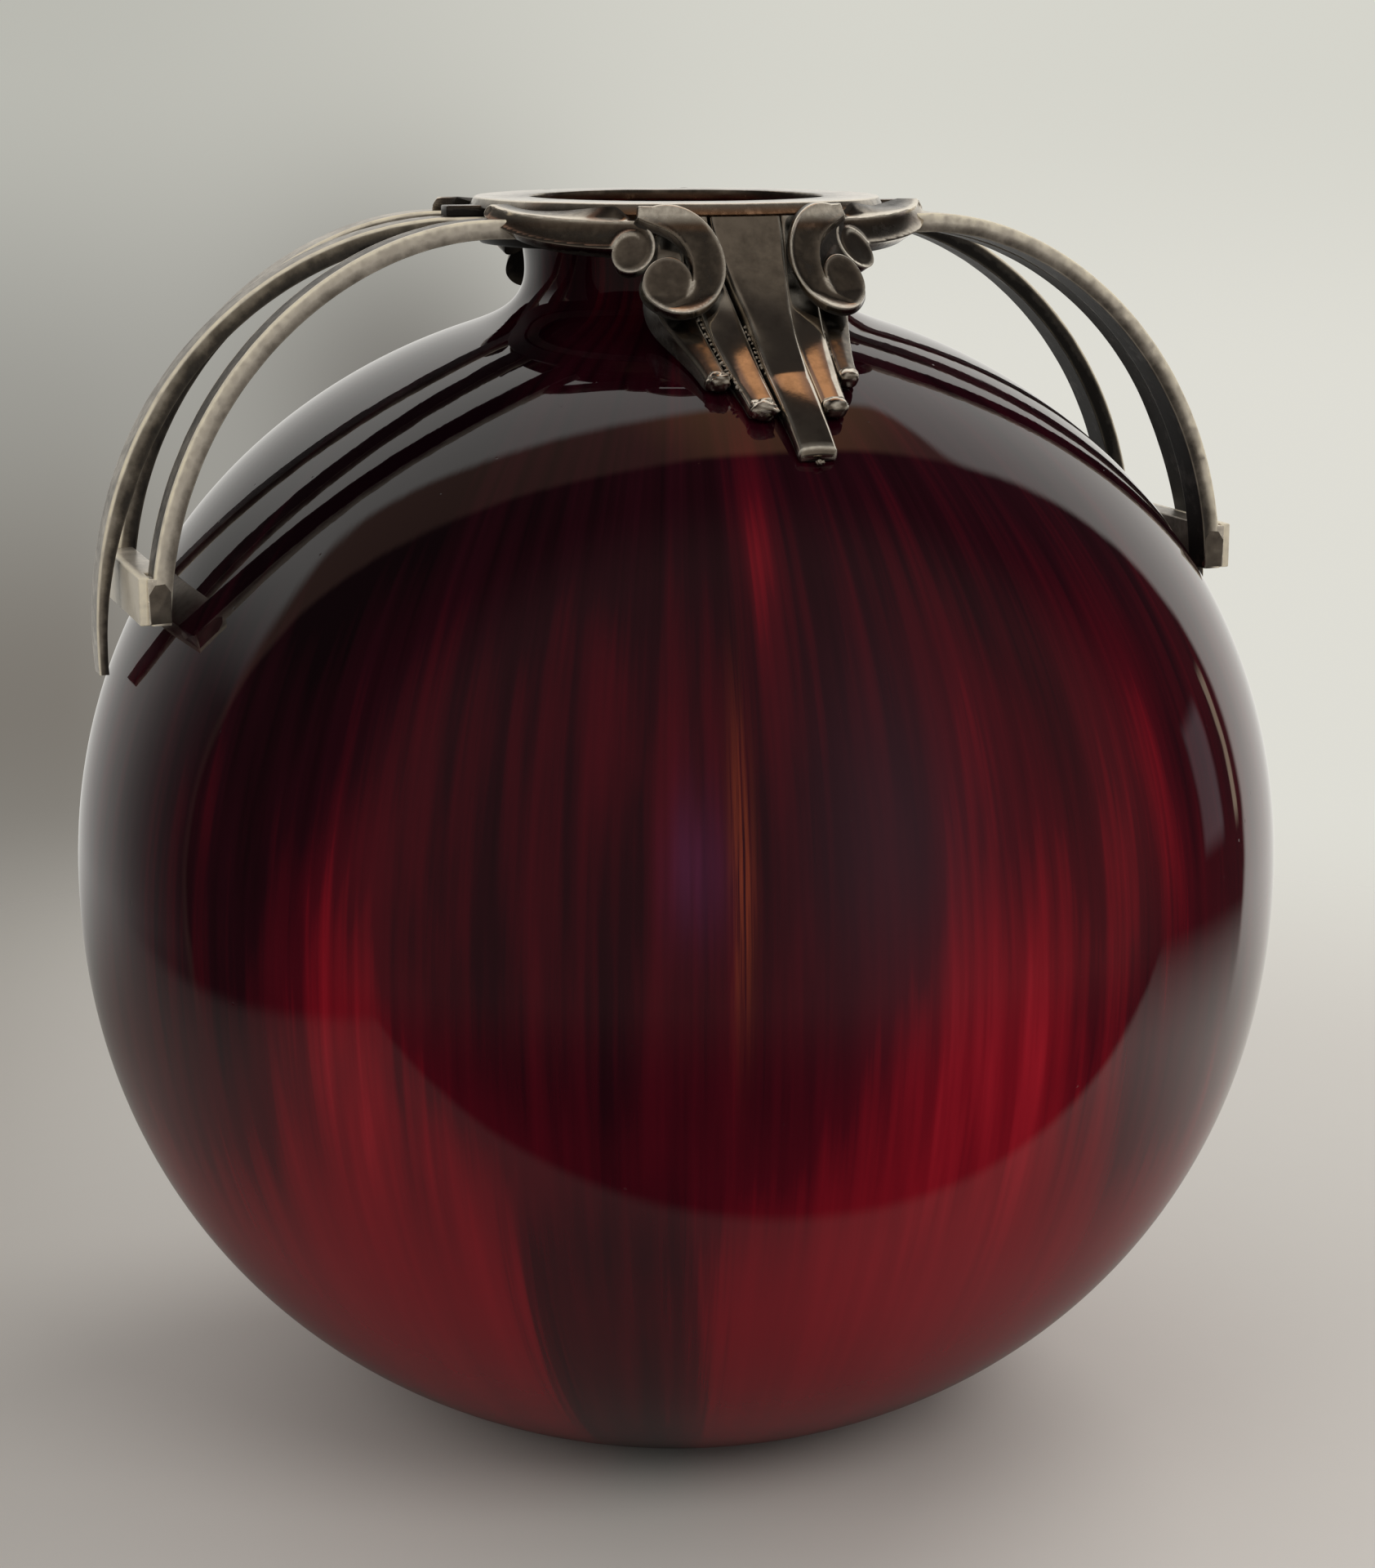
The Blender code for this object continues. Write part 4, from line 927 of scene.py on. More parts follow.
def makeFluteMesh(name, kind, side):
    sections, drops = fluteSections[kind]
    lengths = faceLengths(sections)
    rings, edge, recess = [], [], []
    for (back, face), length, drop in zip(sections, lengths, drops):
        left, right = fluteLimits(kind, length)
        depth = Vector(face) - Vector(back)
        top = depth.length * flutes[kind][2] - drop
        way = depth.normalized()
        squeeze = 0.35 * drop
        left, right = left + squeeze, right - squeeze
        width = right - left
        share = length / lengths[-1]
        hollow = flutes["hollow"] * ease(length / 0.004) * (1.0 - ease((share - 0.28) / 0.25))
        crown = flutes["crown"] * ease((share - 0.38) / 0.2)
        ring, edgeRow, recessRow = [], [], []
        for t in shares(flutes["points"]):
            p = 0.5 - 0.5 * math.cos(math.pi * t)  # closer together at the arrises
            near = min(p, 1.0 - p) * width
            over = max(flutes["edgeRound"] - near, 0.0)
            roundOff = flutes["edgeRound"] - math.sqrt(flutes["edgeRound"] ** 2 - over ** 2)
            sink = hollow * (1.0 - abs(2.0 * p - 1.0) ** flutes["power"]) + crown * (2.0 * p - 1.0) ** 2
            ring.append(flutePoint(left + width * p, back, way, top - sink - roundOff))
            # painted highlight: the arris on the +X side is brighter
            lit = 0.6 if (p > 0.5) == (side > 0) else 0.22
            lit *= 0.75 + 0.7 * noise.noise(Vector((length * 260.0, p * 3.0, side * 4.0)))
            worn = math.exp(-((near - 0.0003) / 0.00026) ** 2) * lit
            # a painted highlight across the end of the centre flute
            if kind == "centre":
                worn = max(worn, 0.85 * math.exp(-((lengths[-1] - length - 0.0011) / 0.0004) ** 2))
            else:  # rough ground between the plates
                ground = 0.34 + 0.5 * noise.noise(Vector(ring[-1]) * 420.0)
                worn = max(worn, ground * ease((0.46 - share) / 0.1))
            edgeRow.append(worn)
            recessRow.append(flutes[kind][3] + 0.12 * hollow / flutes["hollow"])
        for p in (1.0, 0.5, 0.0):
            ring.append(flutePoint(left + width * p, back, way, 0.0))
            edgeRow.append(0.0)
            recessRow.append(1.0)
        rings.append([(side * x, y, z) for x, y, z in ring])
        edge.append(edgeRow)
        recess.append(recessRow)
    return loft(name, rings, edge, recess, 60.0)


# Scrolls and wings: thick plates with a dished face inside a fine arris, wrapped round the leaning apron
plates = {
    "layoutRadius": 0.048, "grid": 0.00036, "arrisRound": 0.00022, "arrisDepth": 0.0006,
    "arrisSteps": [(0.00007, 0.7), (0.0002, 1.0)], "sideSteps": 4, "dishSlope": 0.0007,
}
scroll = {
    "proud": 0.0009, "thinnest": 0.0009, "eyeSide": 0.0172, "eyeRadius": 0.0044, "height": 0.0141,
    "band": 0.0036, "startAngle": -14.0, "outerSweep": 220.0, "innerSweep": 90.0, "innerPower": 1.6,
    "draft": 0.0016, "draftLean": 20.4, "bandDish": 0.00075, "discDish": 0.00028, "discTail": 62.0,
    "tailIn": 0.05, "crownPaintedHighlight": 0.7, "webSide": 0.0236, "webDrop": 0.0026, "webTop": 0.0004,
    # how bright the arris is along its length, worn and with a painted highlight, from the crown round to the
    # free end of the disc
    "rubbedAndHighlit": ((0.0, 0.12, 0.25, 0.4, 0.5, 0.6, 0.667, 0.8, 1.0),
               (0.85, 0.65, 0.5, 0.8, 1.0, 0.85, 0.5, 0.22, 0.12)),
}
wing = {
    "proud": 0.0017, "tipProud": 0.0078, "thickness": 0.0041, "eyeSide": 0.0245, "eyeDrop": 0.0084,
    "eyeRadius": 0.0036, "crown": 0.0052, "tipSide": 0.0562, "tipDrop": 0.0018, "tipHeight": 0.0026,
    "sag": 0.0016, "undercut": 0.0018, "bandDish": 0.0007, "discDish": 0.00022, "curlSweep": 190.0,
    "curlIn": 0.46, "crownPaintedHighlight": 0.2, "draft": 0.0015, "draftLean": 38.0,
    # how bright the wing's arris is along its length, worn and with a painted highlight
    "rubbedAndHighlit": ((0.0, 0.1, 0.4, 0.49, 0.6, 0.75, 0.9, 1.0), (0.4, 0.8, 0.7, 0.55, 0.8, 1.0, 0.5, 0.25)),
}


def lineRadius(points, rise):
    for upper, lower in zip(points, points[1:]):
        if lower[1] <= rise <= upper[1]:
            return mixPoints(upper, lower, (upper[1] - rise) / (upper[1] - lower[1]))[0]
    return points[0][0] if rise > points[0][1] else points[-1][0]


rimEdge = [(rimRadius, rimRise), (rimUnderRadius, rimUnderRise)]
apronLine = rimEdge + [face for back, face in apron]
bedLine = rimEdge + [mixPoints(back, face, flutes["inner"][2]) for back, face in apron]
scrollEyeRise = rimRise - scroll["height"]
scrollLow = scrollEyeRise - scroll["eyeRadius"] - scroll["draft"]
scrollSlope = (lineRadius(bedLine, scrollLow) - rimRadius) / (rimRise - scrollLow)
scrollClear = max(lineRadius(bedLine, r) - scrollSlope * (rimRise - r)
                  for r in [scrollLow + (rimRise - scrollLow) * t for t in shares(12)] + [rimUnderRise])
scrollSag = (0.5 * (scroll["height"] + scroll["eyeRadius"])) ** 2 / (2.0 * plates["layoutRadius"])


def scrollBack(u, v):
    return scrollClear + scrollSlope * (rimRise - v) + scrollSag + gap


def scrollFace(u, v):
    thinnest = scrollBack(u, v) + plates["arrisDepth"] + scroll["thinnest"]
    return max(lineRadius(apronLine, v) + scroll["proud"], thinnest)


def scrollShift(u, v, normal):
    return scroll["draft"] * max(normal.dot(Vector(leanWay(scroll["draftLean"]))), 0.0) * normal


def wingShare(u):
    return ease((u - wing["eyeSide"]) / (wing["tipSide"] - wing["eyeSide"]))


def wingFace(u, v):
    return lineRadius(apronLine, v) + wing["proud"] + (wing["tipProud"] - wing["proud"]) * wingShare(u)


def wingBack(u, v):
    return max(wingFace(u, v) - wing["thickness"], rimUnderRadius + gap)


def wingShift(u, v, normal):
    share = ease((u - wing["eyeSide"]) / wing["crown"])
    if normal.y > 0:
        return Vector((0.0, share * (1.0 - wingShare(u)) * normal.y * max(rimRise - gap - v, 0.0)))
    lean = max(normal.dot(Vector(leanWay(wing["draftLean"]))), 0.0)
    return Vector((0.0, share * normal.y * wing["undercut"])) + wing["draft"] * (1.0 - share) * lean * normal


def polar(eye, reach, angle):  # angle from straight up, turning towards the middle of the ornament
    turn = math.radians(90.0 - angle)
    return (eye[0] - reach * math.cos(turn), eye[1] + reach * math.sin(turn))


def scrollLines():  # the outline, its worn and highlighted part, the line that goes on inside it, the eye
    s = scroll
    eye = (s["eyeSide"], scrollEyeRise)
    extra = s["height"] - s["eyeRadius"]
    span = s["outerSweep"] - s["startAngle"]
    outer = [polar(eye, s["eyeRadius"] + extra * 0.5 * (1 + math.cos(math.pi * t)),
                   s["startAngle"] + span * t) for t in shares(110)]
    freeSpan = s["innerSweep"] + 360.0 - s["outerSweep"]
    free = [polar(eye, s["eyeRadius"], s["outerSweep"] + freeSpan * t) for t in shares(56)[1:-1]]
    extra -= s["band"]
    inner = [polar(eye, s["eyeRadius"] + extra * t ** s["innerPower"],
                   s["innerSweep"] + (s["startAngle"] - s["innerSweep"]) * t) for t in shares(44)]
    corners = [inner[-1], (s["webSide"], rimRise - s["webDrop"]), (s["webSide"], rimRise - s["webTop"]),
               outer[0]]
    crown = [mixPoints(a, b, t) for a, b in zip(corners, corners[1:]) for t in shares(10)[1:]][:-1]
    tail = [polar(eye, s["eyeRadius"] * (1.0 - s["tailIn"] * t), s["innerSweep"] + s["discTail"] * t)
            for t in shares(20)]
    return outer + free + inner + crown, outer + free, tail, eye


def wingLines():
    w = wing
    eye = (w["eyeSide"], rimRise - w["eyeDrop"])
    crown = (eye[0], eye[1] + w["crown"])
    half = 0.5 * w["tipHeight"]
    tip = (w["tipSide"] - half, rimRise - w["tipDrop"])
    length = tip[0] - eye[0]
    tipTop, tipLow = (tip[0], tip[1] + half), (tip[0], tip[1] - half)
    leaves, arrives = (tipTop[0] - 0.2 * length, tipTop[1] - w["sag"]), (crown[0] + 0.45 * length, crown[1])
    top = [bezier(tipTop, leaves, arrives, crown, t) for t in shares(70)]
    curl = [polar(eye, w["crown"] + (w["eyeRadius"] - w["crown"]) * t, 270.0 * t) for t in shares(72)[1:]]
    heel = curl[-1]
    leaves = (heel[0] + 0.3 * length, heel[1] + 0.2 * w["sag"])
    arrives = (heel[0] + 0.6 * length, heel[1] + 0.8 * w["sag"])
    low = [bezier(heel, leaves, arrives, tipLow, t) for t in shares(60)[1:]]
    turns = [math.pi * t for t in shares(14)[1:-1]]
    end = [(tip[0] + half * math.sin(turn), tip[1] - half * math.cos(turn)) for turn in turns]
    tail = [polar(eye, w["eyeRadius"] * (1.0 - w["curlIn"] * t), 270.0 + w["curlSweep"] * t)
            for t in shares(48)]
    return top + curl + low + end, top + curl, tail, eye


def distanceTo(points, line, closed=False):
    a = np.array(line)
    b = np.roll(a, -1, axis=0) if closed else a[1:]
    a = a if closed else a[:-1]
    best = np.full(len(points), 1.0)
    where = np.zeros(len(points))
    for i, (p, q) in enumerate(zip(a, b)):
        way = q - p
        t = np.clip(((points - p) @ way) / max(way @ way, 1e-18), 0.0, 1.0)
        d = np.hypot(*(points - p - t[:, None] * way).T)
        closer = d < best
        best = np.where(closer, d, best)
        where = np.where(closer, (i + t) / len(a), where)
    return best, where


def inside(points, outline):
    a = np.array(outline)
    b = np.roll(a, -1, axis=0)
    x, y = points[:, 0], points[:, 1]
    hit = np.zeros(len(points), dtype=bool)
    for p, q in zip(a, b):
        crosses = (p[1] > y) != (q[1] > y)
        where = p[0] + (y - p[1]) / (q[1] - p[1] if q[1] != p[1] else 1e-12) * (q[0] - p[0])
        hit ^= crosses & (x < where)
    return hit


def outlineNormals(outline):
    area = sum(a[0] * b[1] - b[0] * a[1] for a, b in zip(outline, outline[1:] + outline[:1]))
    turn = 1.0 if area > 0 else -1.0
    normals = []
    for i in range(len(outline)):
        before, after = outline[i - 1], outline[(i + 1) % len(outline)]
        along = Vector((after[0] - before[0], after[1] - before[1])).normalized()
        normals.append(turn * Vector((along.y, -along.x)))
    return normals


def plateFace(front):  # an even grid inside the outline: points, triangles, the outline's own points
    step = plates["grid"]
    low, top = np.min(np.array(front), axis=0), np.max(np.array(front), axis=0)
    grid = []
    for row, v in enumerate(np.arange(low[1], top[1], step * 0.866)):
        grid += [(u + 0.5 * step * (row % 2), v) for u in np.arange(low[0], top[0], step)]
    grid = np.array(grid)
    grid = grid[inside(grid, front)]
    grid = grid[distanceTo(grid, front, True)[0] > 0.6 * step]
    points = [Vector(p) for p in front] + [Vector(p) for p in grid]
    flat, _, faces, source, _, _ = geometry.delaunay_2d_cdt(points, [], [list(range(len(front)))], 1, 1e-9)
    first = {}
    for i, origins in enumerate(source):
        for origin in origins:
            first.setdefault(origin, i)
    return np.array([tuple(p) for p in flat]), faces, [first[i] for i in range(len(front))]


def plateRelief(flat, lines, sizes):  # how far each point is dished, then how worn and highlighted, how deep, and how much painted warm reflection it has
    outline, strong, tail, eye = lines
    inset = plates["arrisRound"]
    toEdge = distanceTo(flat, outline, True)[0]
    toStrong, strongShare = distanceTo(flat, strong)
    toTail, tailShare = distanceTo(flat, tail)
    toTail = toTail + 0.0016 * np.clip(tailShare * 1.35 - 0.35, 0.0, 1.0) ** 2  # it dies away
    fromEye = np.hypot(*(flat - np.array(eye)).T)
    onDisc = np.clip((sizes["eyeRadius"] + 0.0002 - fromEye) / 0.0004, 0.0, 1.0)
    dish = sizes["bandDish"] + (sizes["discDish"] - sizes["bandDish"]) * onDisc
    away = np.maximum(np.minimum(toEdge, toTail) - inset, 0.0)
    height = -dish * (1.0 - np.exp(-away / plates["dishSlope"]))
    # the arris and the inner line are worn and carry painted highlights
    strongWearAndHighlight = np.exp(-((toStrong - inset) / 0.0003) ** 2) * np.interp(strongShare, *sizes["rubbedAndHighlit"])
    tailWearAndHighlight = np.exp(-((toTail - inset) / 0.00028) ** 2) * (0.75 - 0.5 * tailShare)
    high = flat[:, 1] - rimRise
    crownPaintedHighlight = sizes["crownPaintedHighlight"] * np.clip((high + 0.0040) / 0.0020, 0.0, 1.0)  # painted highlight along the crown
    edge = np.maximum(np.maximum(strongWearAndHighlight, tailWearAndHighlight), crownPaintedHighlight)
    recess = 0.10 + np.clip(0.55 * -height / sizes["bandDish"], 0.0, 1.0) + 0.1 * onDisc
    # an orange painted reflection just under the crown
    stain = 0.5 * sizes["crownPaintedHighlight"] * np.exp(-((high + 0.0042) / 0.0008) ** 2)
    return zip(height, edge, recess, stain)


def plateMesh(name, lines, side, sizes, faceRadius, backRadius, shift):
    outline, strong = lines[:2]
    normals = outlineNormals(outline)
    inset = plates["arrisRound"]
    flat, faces, rim = plateFace([(p[0] - inset * m.x, p[1] - inset * m.y) for p, m in zip(outline, normals)])
    bm, layers = startMesh("edge", "recess", "stain")

    def place(u, v, radius, *tags):
        angle = side * u / plates["layoutRadius"]
        vert = bm.verts.new((radius * math.sin(angle), -radius * math.cos(angle), centreZ + v))
        for layer, tag in zip(layers, tags):
            vert[layer] = tag
        return vert

    faceVerts = [place(u, v, faceRadius(u, v) + height, *tags)
                 for (u, v), (height, *tags) in zip(flat, plateRelief(flat, lines, sizes))]
    rings = [[faceVerts[i] for i in rim]]
    for drop, out in plates["arrisSteps"]:
        ring = []
        for i, (p, m) in enumerate(zip(outline, normals)):
            u, v = p[0] - inset * (1 - out) * m.x, p[1] - inset * (1 - out) * m.y
            # the arris rings carry the same wear and painted highlight
            rubbedAndHighlit = np.interp(i / len(strong), *sizes["rubbedAndHighlit"]) if i < len(strong) else 0.08
            ring.append(place(u, v, faceRadius(*p) - drop, 0.9 * rubbedAndHighlit, 0.15))
        rings.append(ring)
    moves = [shift(*p, m) for p, m in zip(outline, normals)]
    backs = [(p[0] + move.x, p[1] + move.y) for p, move in zip(outline, moves)]
    for t in shares(plates["sideSteps"])[1:]:
        ring = []
        for p, q in zip(outline, backs):
            start = faceRadius(*p) - plates["arrisSteps"][-1][0]
            radius = start + (min(backRadius(*q), start - 0.0001) - start) * t
            ring.append(place(*mixPoints(p, q, t), radius, 0.0, 0.25 + 0.6 * t))
        rings.append(ring)
    for lower, upper in zip(rings, rings[1:]):
        joinRings(bm, lower, upper)
    for corners in faces:
        bm.faces.new([faceVerts[i] for i in corners])
    bmesh.ops.triangulate(bm, faces=[bm.faces.new(rings[-1])])
    return finishMesh(name, bm, 62.0)


def makeOrnaments():
    made = {"strip_centre": makeFluteMesh("fluteCentre", "centre", 1)}
    for hand, side in (("right", 1), ("left", -1)):
        for kind in ("inner", "outer"):
            made[f"strip_{kind}_{hand}"] = makeFluteMesh("flute" + kind.title(), kind, side)
        made["scroll_" + hand] = plateMesh("scroll", scrollLines(), side, scroll, scrollFace, scrollBack,
                                           scrollShift)
        made["wing_" + hand] = plateMesh("wing", wingLines(), side, wing, wingFace, wingBack, wingShift)
    for node, mesh in made.items():
        label = "".join(word.title() for word in node.split("_"))
        addFrontAndRear(label, mesh, polishedMaterial if node.startswith("strip") else silverMaterial, node)


makeOrnaments()
print("ornaments made")

# Solder left along the joints: small lumps scattered on a line
solder = {
    "Lump": 0.00042, "Spacing": 0.0011, "Spread": 0.00022, "Seed": 5,
    # the flute whose outer side carries solder, its side, from and to which share of its length
    "seams": [("inner", -1, 0.42, 0.9), ("centre", -1, 0.4, 0.62), ("inner", 1, 0.5, 0.7)],
}


def makeSolderTree():
    t = Tree("solderLumps", [("Lump", "NodeSocketFloat"), ("Spacing", "NodeSocketFloat"),
                             ("Spread", "NodeSocketFloat"), ("Seed", "NodeSocketInt"),
                             ("Finish", "NodeSocketMaterial")])

    def scattered(low, high, seed):
        values = {0: low, 1: high, "Seed": seed}
        return t.add("FunctionNodeRandomValue", {"data_type": "FLOAT_VECTOR"}, values)

    def scaled(vector, factor):
        return t.add("ShaderNodeVectorMath", {"operation": "SCALE"}, {0: vector, "Scale": factor})

    line = t.add("GeometryNodeMeshToCurve", None, {"Mesh": t.given("Geometry")})
    spots = t.add("GeometryNodeCurveToPoints", {"mode": "LENGTH"},
                  {"Curve": line, "Length": t.given("Spacing")})
    shift = scaled(scattered((-1.0, -1.0, -1.0), (1.0, 1.0, 1.0), t.given("Seed")), t.given("Spread"))
    spots = t.add("GeometryNodeSetPosition", None, {"Geometry": spots, "Offset": shift})
    lump = t.add("GeometryNodeMeshIcoSphere", None, {"Radius": t.given("Lump"), "Subdivisions": 3})
    rough = t.add("ShaderNodeTexNoise", None, {"Scale": 1400.0, "Detail": 2.0}, output="Color")
    push = t.add("ShaderNodeVectorMath", {"operation": "SUBTRACT"}, {0: rough, 1: (0.5, 0.5, 0.5)})
    lump = t.add("GeometryNodeSetPosition", None, {"Geometry": lump, "Offset": scaled(push, 0.0005)})
    size = scattered((0.35, 0.35, 0.35), (1.15, 1.15, 0.9), 3)
    turn = scattered((0.0, 0.0, 0.0), (6.28, 6.28, 6.28), 9)
    lumps = t.add("GeometryNodeInstanceOnPoints", None,
                  {"Points": spots, "Instance": lump, "Rotation": turn, "Scale": size})
    lumps = t.add("GeometryNodeRealizeInstances", None, {"Geometry": lumps})
    lumps = t.add("GeometryNodeSetShadeSmooth", None, {"Geometry": lumps, "Shade Smooth": True})
    return t.close(t.add("GeometryNodeSetMaterial", None, {"Geometry": lumps, "Material": t.given("Finish")}))


def seamLine(kind, side, low, high):  # along the outer side of a flute, just proud of the neighbour's face
    sections = fluteSections[kind][0]
    lengths = faceLengths(sections)
    points = []
    for (back, face), length in zip(sections, lengths):
        if low <= length / lengths[-1] <= high:
            depth = Vector(face) - Vector(back)
            lift = depth.length * flutes["inner" if kind == "centre" else "outer"][2] * 0.9
            lateral = fluteLimits(kind, length)[1] + 0.5 * flutes["space"]
            x, y, z = flutePoint(lateral, back, depth.normalized(), lift)
            points.append((side * x, y, z))
    return points


def makeSolder():
    points, edges = [], []
    for seam in solder["seams"]:
        line = seamLine(*seam)
        edges += [(len(points) + i, len(points) + i + 1) for i in range(len(line) - 1)]
        points += line
    mesh = meshFromTree("solder", points, edges, makeSolderTree(), {**solder, "Finish": solderMaterial})
    addFrontAndRear("Solder", mesh, solderMaterial)


# Lumps of solder at the ends of the flutes, and a drop under the middle one
toes = {
    # share of the flute's width, half length, share of its depth, how far beyond the end
    "cap": (0.49, 0.0019, 0.66, -0.0004), "drop": (0.11, 0.0004, 0.2, 0.0009), "power": 0.75,
    # flute, side, size, unevenness, seed
    "lumps": {"InnerRight": ("inner", 1, "cap", 0.08, 0.0), "InnerLeft": ("inner", -1, "cap", 0.24, 3.1),
              "OuterRight": ("outer", 1, "cap", 0.08, 6.2), "OuterLeft": ("outer", -1, "cap", 0.22, 9.3),
              "Drop": ("centre", 1, "drop", 0.5, 4.4)},
}


def makeToeLump(kind, side, size, rough, seed):
    wide, long, high, beyond = toes[size]
    sections = fluteSections[kind][0]
    (back, face), before = sections[-1], sections[-9][0]
    left, right = fluteLimits(kind, fluteLength[kind])
    along = (Vector(back) - Vector(before)).normalized()
    depth = Vector(face) - Vector(back)
    thick = depth.length * flutes[kind][2]
    bm, (edgeLayer, recessLayer) = startMesh("edge", "recess")
    bmesh.ops.create_icosphere(bm, subdivisions=4, radius=1.0)
    for vert in bm.verts:
        start = vert.co.copy()
        lump = 1.0 + rough * noise.noise(start * 1.9 + Vector((seed, 0.0, 0.0)))
        lump += 0.35 * rough * noise.noise(start * 5.0 + Vector((0.0, seed, 0.0)))
        a, b, c = (math.copysign(abs(v) ** toes["power"], v) * lump for v in start)
        spot = Vector(back) + along * (long * b + beyond) + depth.normalized() * (high * thick * (0.92 + c))
        lateral = 0.5 * (left + right) + wide * (right - left) * a
        vert.co = (side * lateral, -math.sqrt(spot.x ** 2 - lateral ** 2), centreZ + spot.y)
        # random painted glints, a painted highlight on top and painted shade underneath
        paintedGlint = noise.noise(start * 2.6 + Vector((seed, 2.0, 0.0)))
        vert[edgeLayer] = max(0.0, 0.3 * c - 0.02 + 0.9 * paintedGlint)
        vert[recessLayer] = 0.34 + 0.5 * max(-c, 0.0)
    return finishMesh("toeLump", bm, 70.0)


def makeToeLumps():
    for label, lump in toes["lumps"].items():
        addFrontAndRear("Toe" + label, makeToeLump(*lump), polishedMaterial)


makeSolder()
makeToeLumps()
print("solder laid")

# Stage: a pale floor that fades into the backdrop colour
stage = {
    "floor": (0.74, 0.715, 0.68), "floorGrain": (0.66, 0.635, 0.60), "floorShade": (0.43, 0.40, 0.365),
    "floorRadius": 2.4, "fade": (0.28, 0.62), "frontEdge": -0.175, "leftEdge": -0.42,
    "reflectedFloor": (0.31, 0.295, 0.275), "reflectedRight": (0.78, 0.76, 0.72),
    "reflectedDark": (0.03, 0.028, 0.026),
    "backdropLeft": (0.375, 0.37, 0.34), "backdropRight": (0.735, 0.725, 0.665),
    "roomFront": (0.125, 0.108, 0.093), "zenith": (0.03, 0.026, 0.024), "warmWall": (0.60, 0.32, 0.17),
    "dimWall": (0.25, 0.155, 0.12), "fill": (0.50, 0.495, 0.48),
    "wall": [(0.06, (0.02, 0.02, 0.019)), (0.15, (0.16, 0.16, 0.153)), (0.25, (0.40, 0.40, 0.38)),
             (0.375, (0.54, 0.535, 0.51)), (0.6, (0.80, 0.785, 0.745)), (0.8, (0.92, 0.90, 0.85))],
    # where each lamp stands and aims, its size, power and colour
    "lamps": {"keyLamp": ((0.85, 0.45, 0.95), (0.0, 0.0, 0.1), 0.8, 5.0, (1.0, 0.98, 0.94)),
              "frontLamp": ((0.35, -1.1, 0.9), (0.0, 0.0, 0.1), 0.7, 3.8, (1.0, 0.97, 0.93)),
              "leftLamp": ((-1.0, -0.6, 0.8), (0.0, 0.0, 0.15), 0.7, 1.7, (1.0, 0.97, 0.93))},
    "cameraPlace": (-0.2171, -0.6388, 0.2814), "tilt": 77.54, "turn": -18.97, "lens": 75.0, "sensor": 36.0,
}


def makeFloor():
    bm = bmesh.new()
    bmesh.ops.create_circle(bm, cap_ends=True, radius=stage["floorRadius"], segments=96)
    mesh = bpy.data.meshes.new("floor")
    bm.to_mesh(mesh)
    bm.free()
    material, n = newMaterial("paleFloor")
    x, y = n.split(n.objectPlace())[:2]
    path = n.add("ShaderNodeLightPath", output="Is Glossy Ray")
    dark = (1.0 - n.smooth(y, stage["frontEdge"] - 0.006, stage["frontEdge"] + 0.006)
            * n.smooth(x, stage["leftEdge"] - 0.03, stage["leftEdge"] + 0.03)) * path
    grain = n.noise(n.objectPlace(), 90.0, 3.0)
    pale = n.mix(grain * 0.12, stage["floor"], stage["floorGrain"])
    pale = n.mix(n.smooth(x * 0.946 - y * 0.325, -0.08, -0.30), pale, stage["floorShade"])
    mirrored = n.mix(n.smooth(x, 0.08, 0.30), stage["reflectedFloor"], stage["reflectedRight"])
    colour = n.mix(path, pale, mirrored)
    colour = n.mix(dark, colour, stage["reflectedDark"])
    cloth = n.add("ShaderNodeBsdfDiffuse", None, {"Color": colour})
    clear = n.add("ShaderNodeBsdfTransparent")
    reach = (x * x + y * y).root()
    fade = n.smooth(reach, *stage["fade"])
    both = n.add("ShaderNodeMixShader", None, {0: fade, 1: cloth, 2: clear})
    n.add("ShaderNodeOutputMaterial", None, {"Surface": both})
    mesh.materials.append(material)
    floor = bpy.data.objects.new("floor", mesh)
    scene.collection.objects.link(floor)


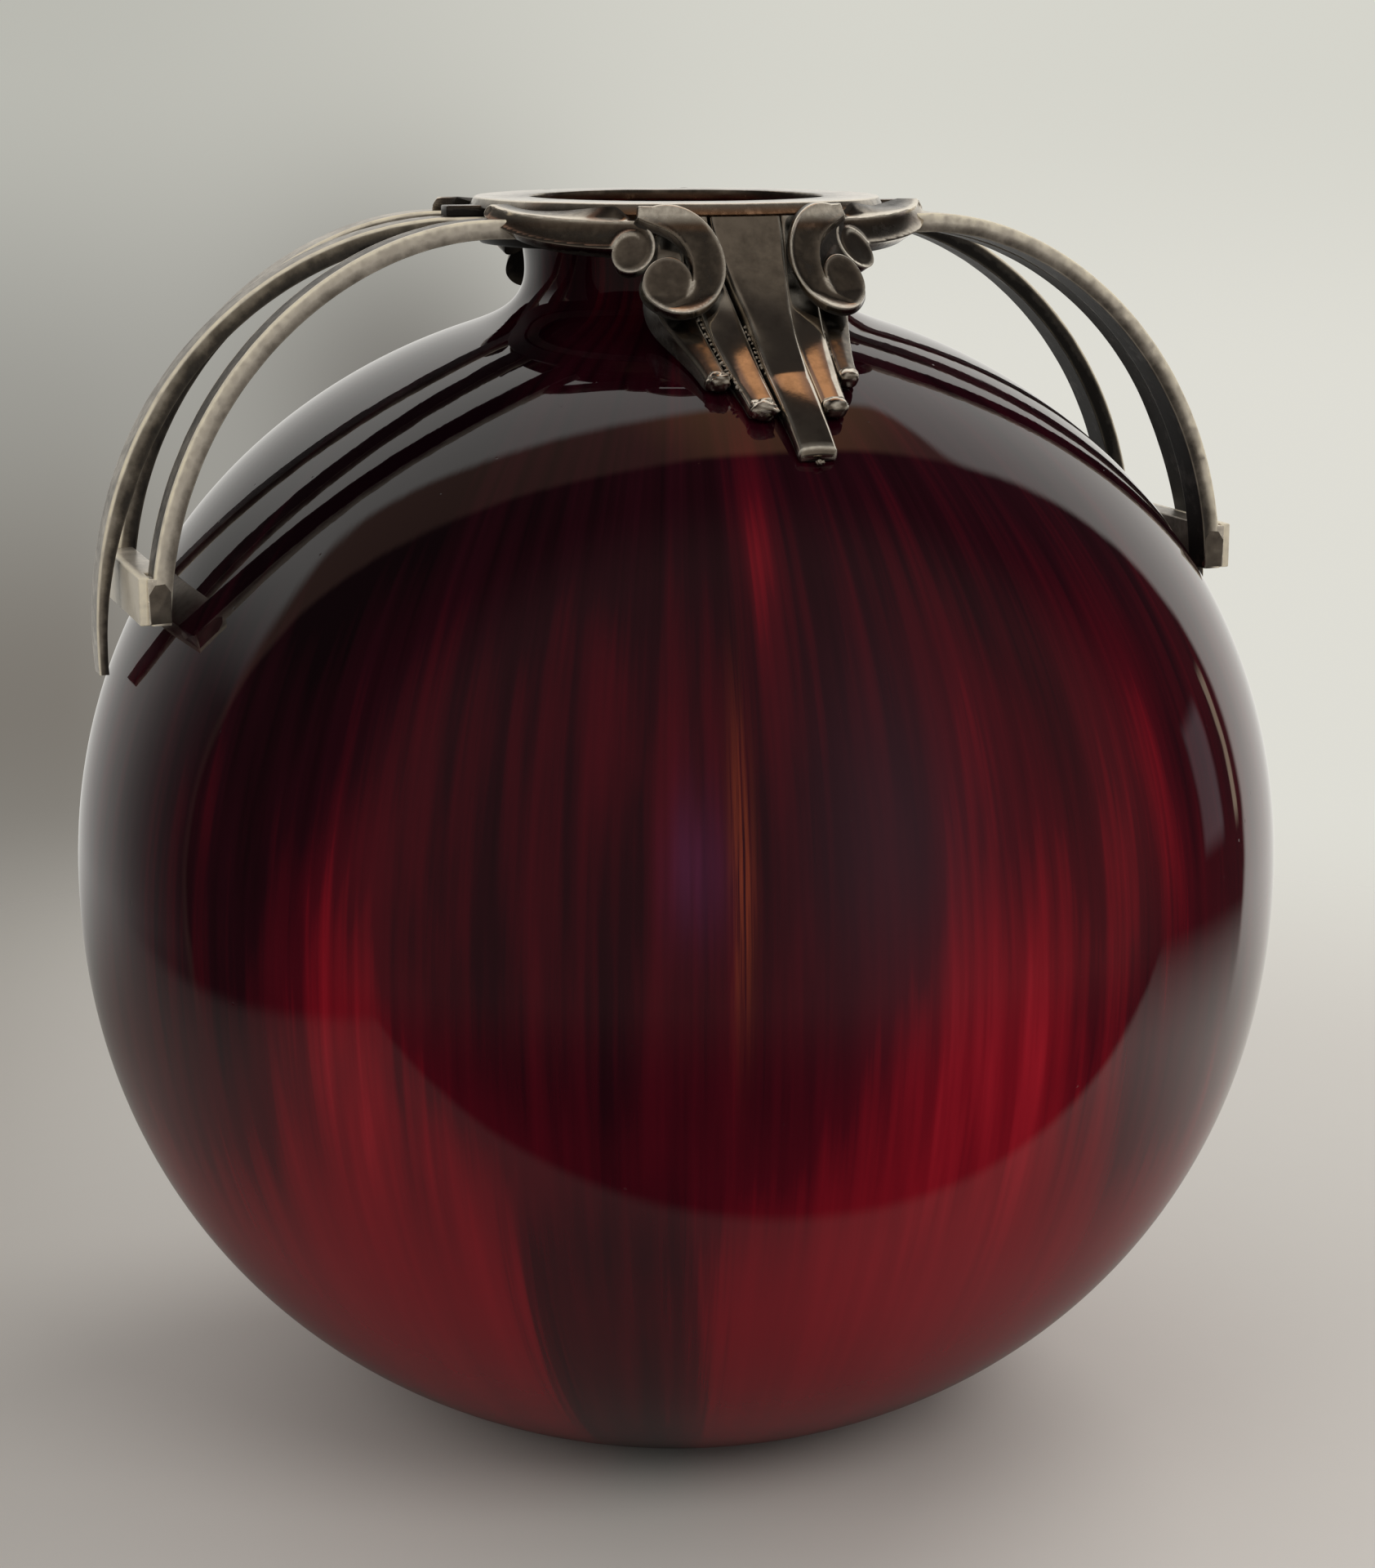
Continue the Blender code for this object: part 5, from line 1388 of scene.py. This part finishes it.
def makeWorld():
    world = bpy.data.worlds.new("studio")
    scene.world = world
    world.use_nodes = True
    n = Nodes(world.node_tree)
    x, y, z = n.split(n.add("ShaderNodeTexCoord", output="Generated"))
    side = x * 0.946 - y * 0.325
    # the backdrop seen straight on, with painted shade: darker to the left, and two painted shadows of the
    # vase
    pale = n.mix(n.smooth(side, -0.22, 0.07), stage["backdropLeft"], stage["backdropRight"])
    pale = n.mix(n.smooth(z, -0.10, 0.0) * 0.5, pale, (0.60, 0.60, 0.54))
    pale = n.mix(n.bell(z, -0.105, 0.062) * n.bell(side, -0.085, 0.052) * 0.8, pale, (0.11, 0.10, 0.09))
    pale = n.mix(n.bell(z, -0.19, 0.08) * n.smooth(side, -0.10, -0.19) * 0.85, pale, (0.17, 0.152, 0.13))
    # what the glaze and the metal mirror: dark in front, black overhead, a dim strip, the pale wall behind
    across = x - 0.08
    dimEdge = across * across * 0.42 + 0.14
    wallEdge = dimEdge + n.smooth(x, 0.66, 0.48) * n.smooth(x, -0.9, -0.45) * 0.22
    room = n.mix(n.smooth(y, 0.02, -0.34), stage["zenith"], stage["roomFront"])
    strip = n.mix(n.smooth(x, -0.02, 0.2) * n.smooth(x, 0.60, 0.38), stage["dimWall"], stage["warmWall"])
    room = n.mix(n.smooth(y - dimEdge, -0.02, 0.02), room, strip)
    wall = n.ramp(x * 0.5 + 0.5, stage["wall"])
    wall = n.mix(n.smooth(z, 0.25, 0.65), wall, (0.92, 0.90, 0.86))
    room = n.mix(n.smooth(y - wallEdge, -0.025, 0.025), room, wall)
    # a window far to the right
    pane = n.smooth(z, -0.13, -0.08) * n.smooth(z, 0.15, 0.10) * n.smooth(x, 0.86, 0.9)
    room = n.mix(pane * n.smooth(y, 0.10, 0.13) * n.smooth(y, 0.27, 0.24), room, (0.33, 0.29, 0.31))
    room = n.mix(pane * n.smooth(y, 0.345, 0.355) * n.smooth(y, 0.385, 0.375), room, (0.85, 0.72, 0.52))
    camera = n.add("ShaderNodeLightPath", output="Is Camera Ray")
    mirror = n.add("ShaderNodeLightPath", output="Is Glossy Ray")
    colour = n.mix(mirror, stage["fill"], room)
    colour = n.mix(camera, colour, pale)
    light = n.add("ShaderNodeBackground", None, {"Color": colour, "Strength": 1.0})
    n.add("ShaderNodeOutputWorld", None, {"Surface": light})


def addLamp(name, place, aim, size, power, colour):
    data = bpy.data.lights.new(name, "AREA")
    data.shape = "DISK"
    data.size = size
    data.energy = power
    data.color = colour
    lamp = bpy.data.objects.new(name, data)
    lamp.location = place
    lamp.rotation_euler = (Vector(aim) - Vector(place)).to_track_quat("-Z", "Y").to_euler()
    lamp.visible_glossy = False
    scene.collection.objects.link(lamp)


def makeCamera():
    data = bpy.data.cameras.new("camera")
    data.lens = stage["lens"]
    data.sensor_width = stage["sensor"]
    camera = bpy.data.objects.new("camera", data)
    camera.location = stage["cameraPlace"]
    camera.rotation_euler = (math.radians(stage["tilt"]), 0.0, math.radians(stage["turn"]))
    scene.collection.objects.link(camera)
    scene.camera = camera


makeFloor()
makeWorld()
for name, lamp in stage["lamps"].items():
    addLamp(name, *lamp)
makeCamera()
print("stage set")
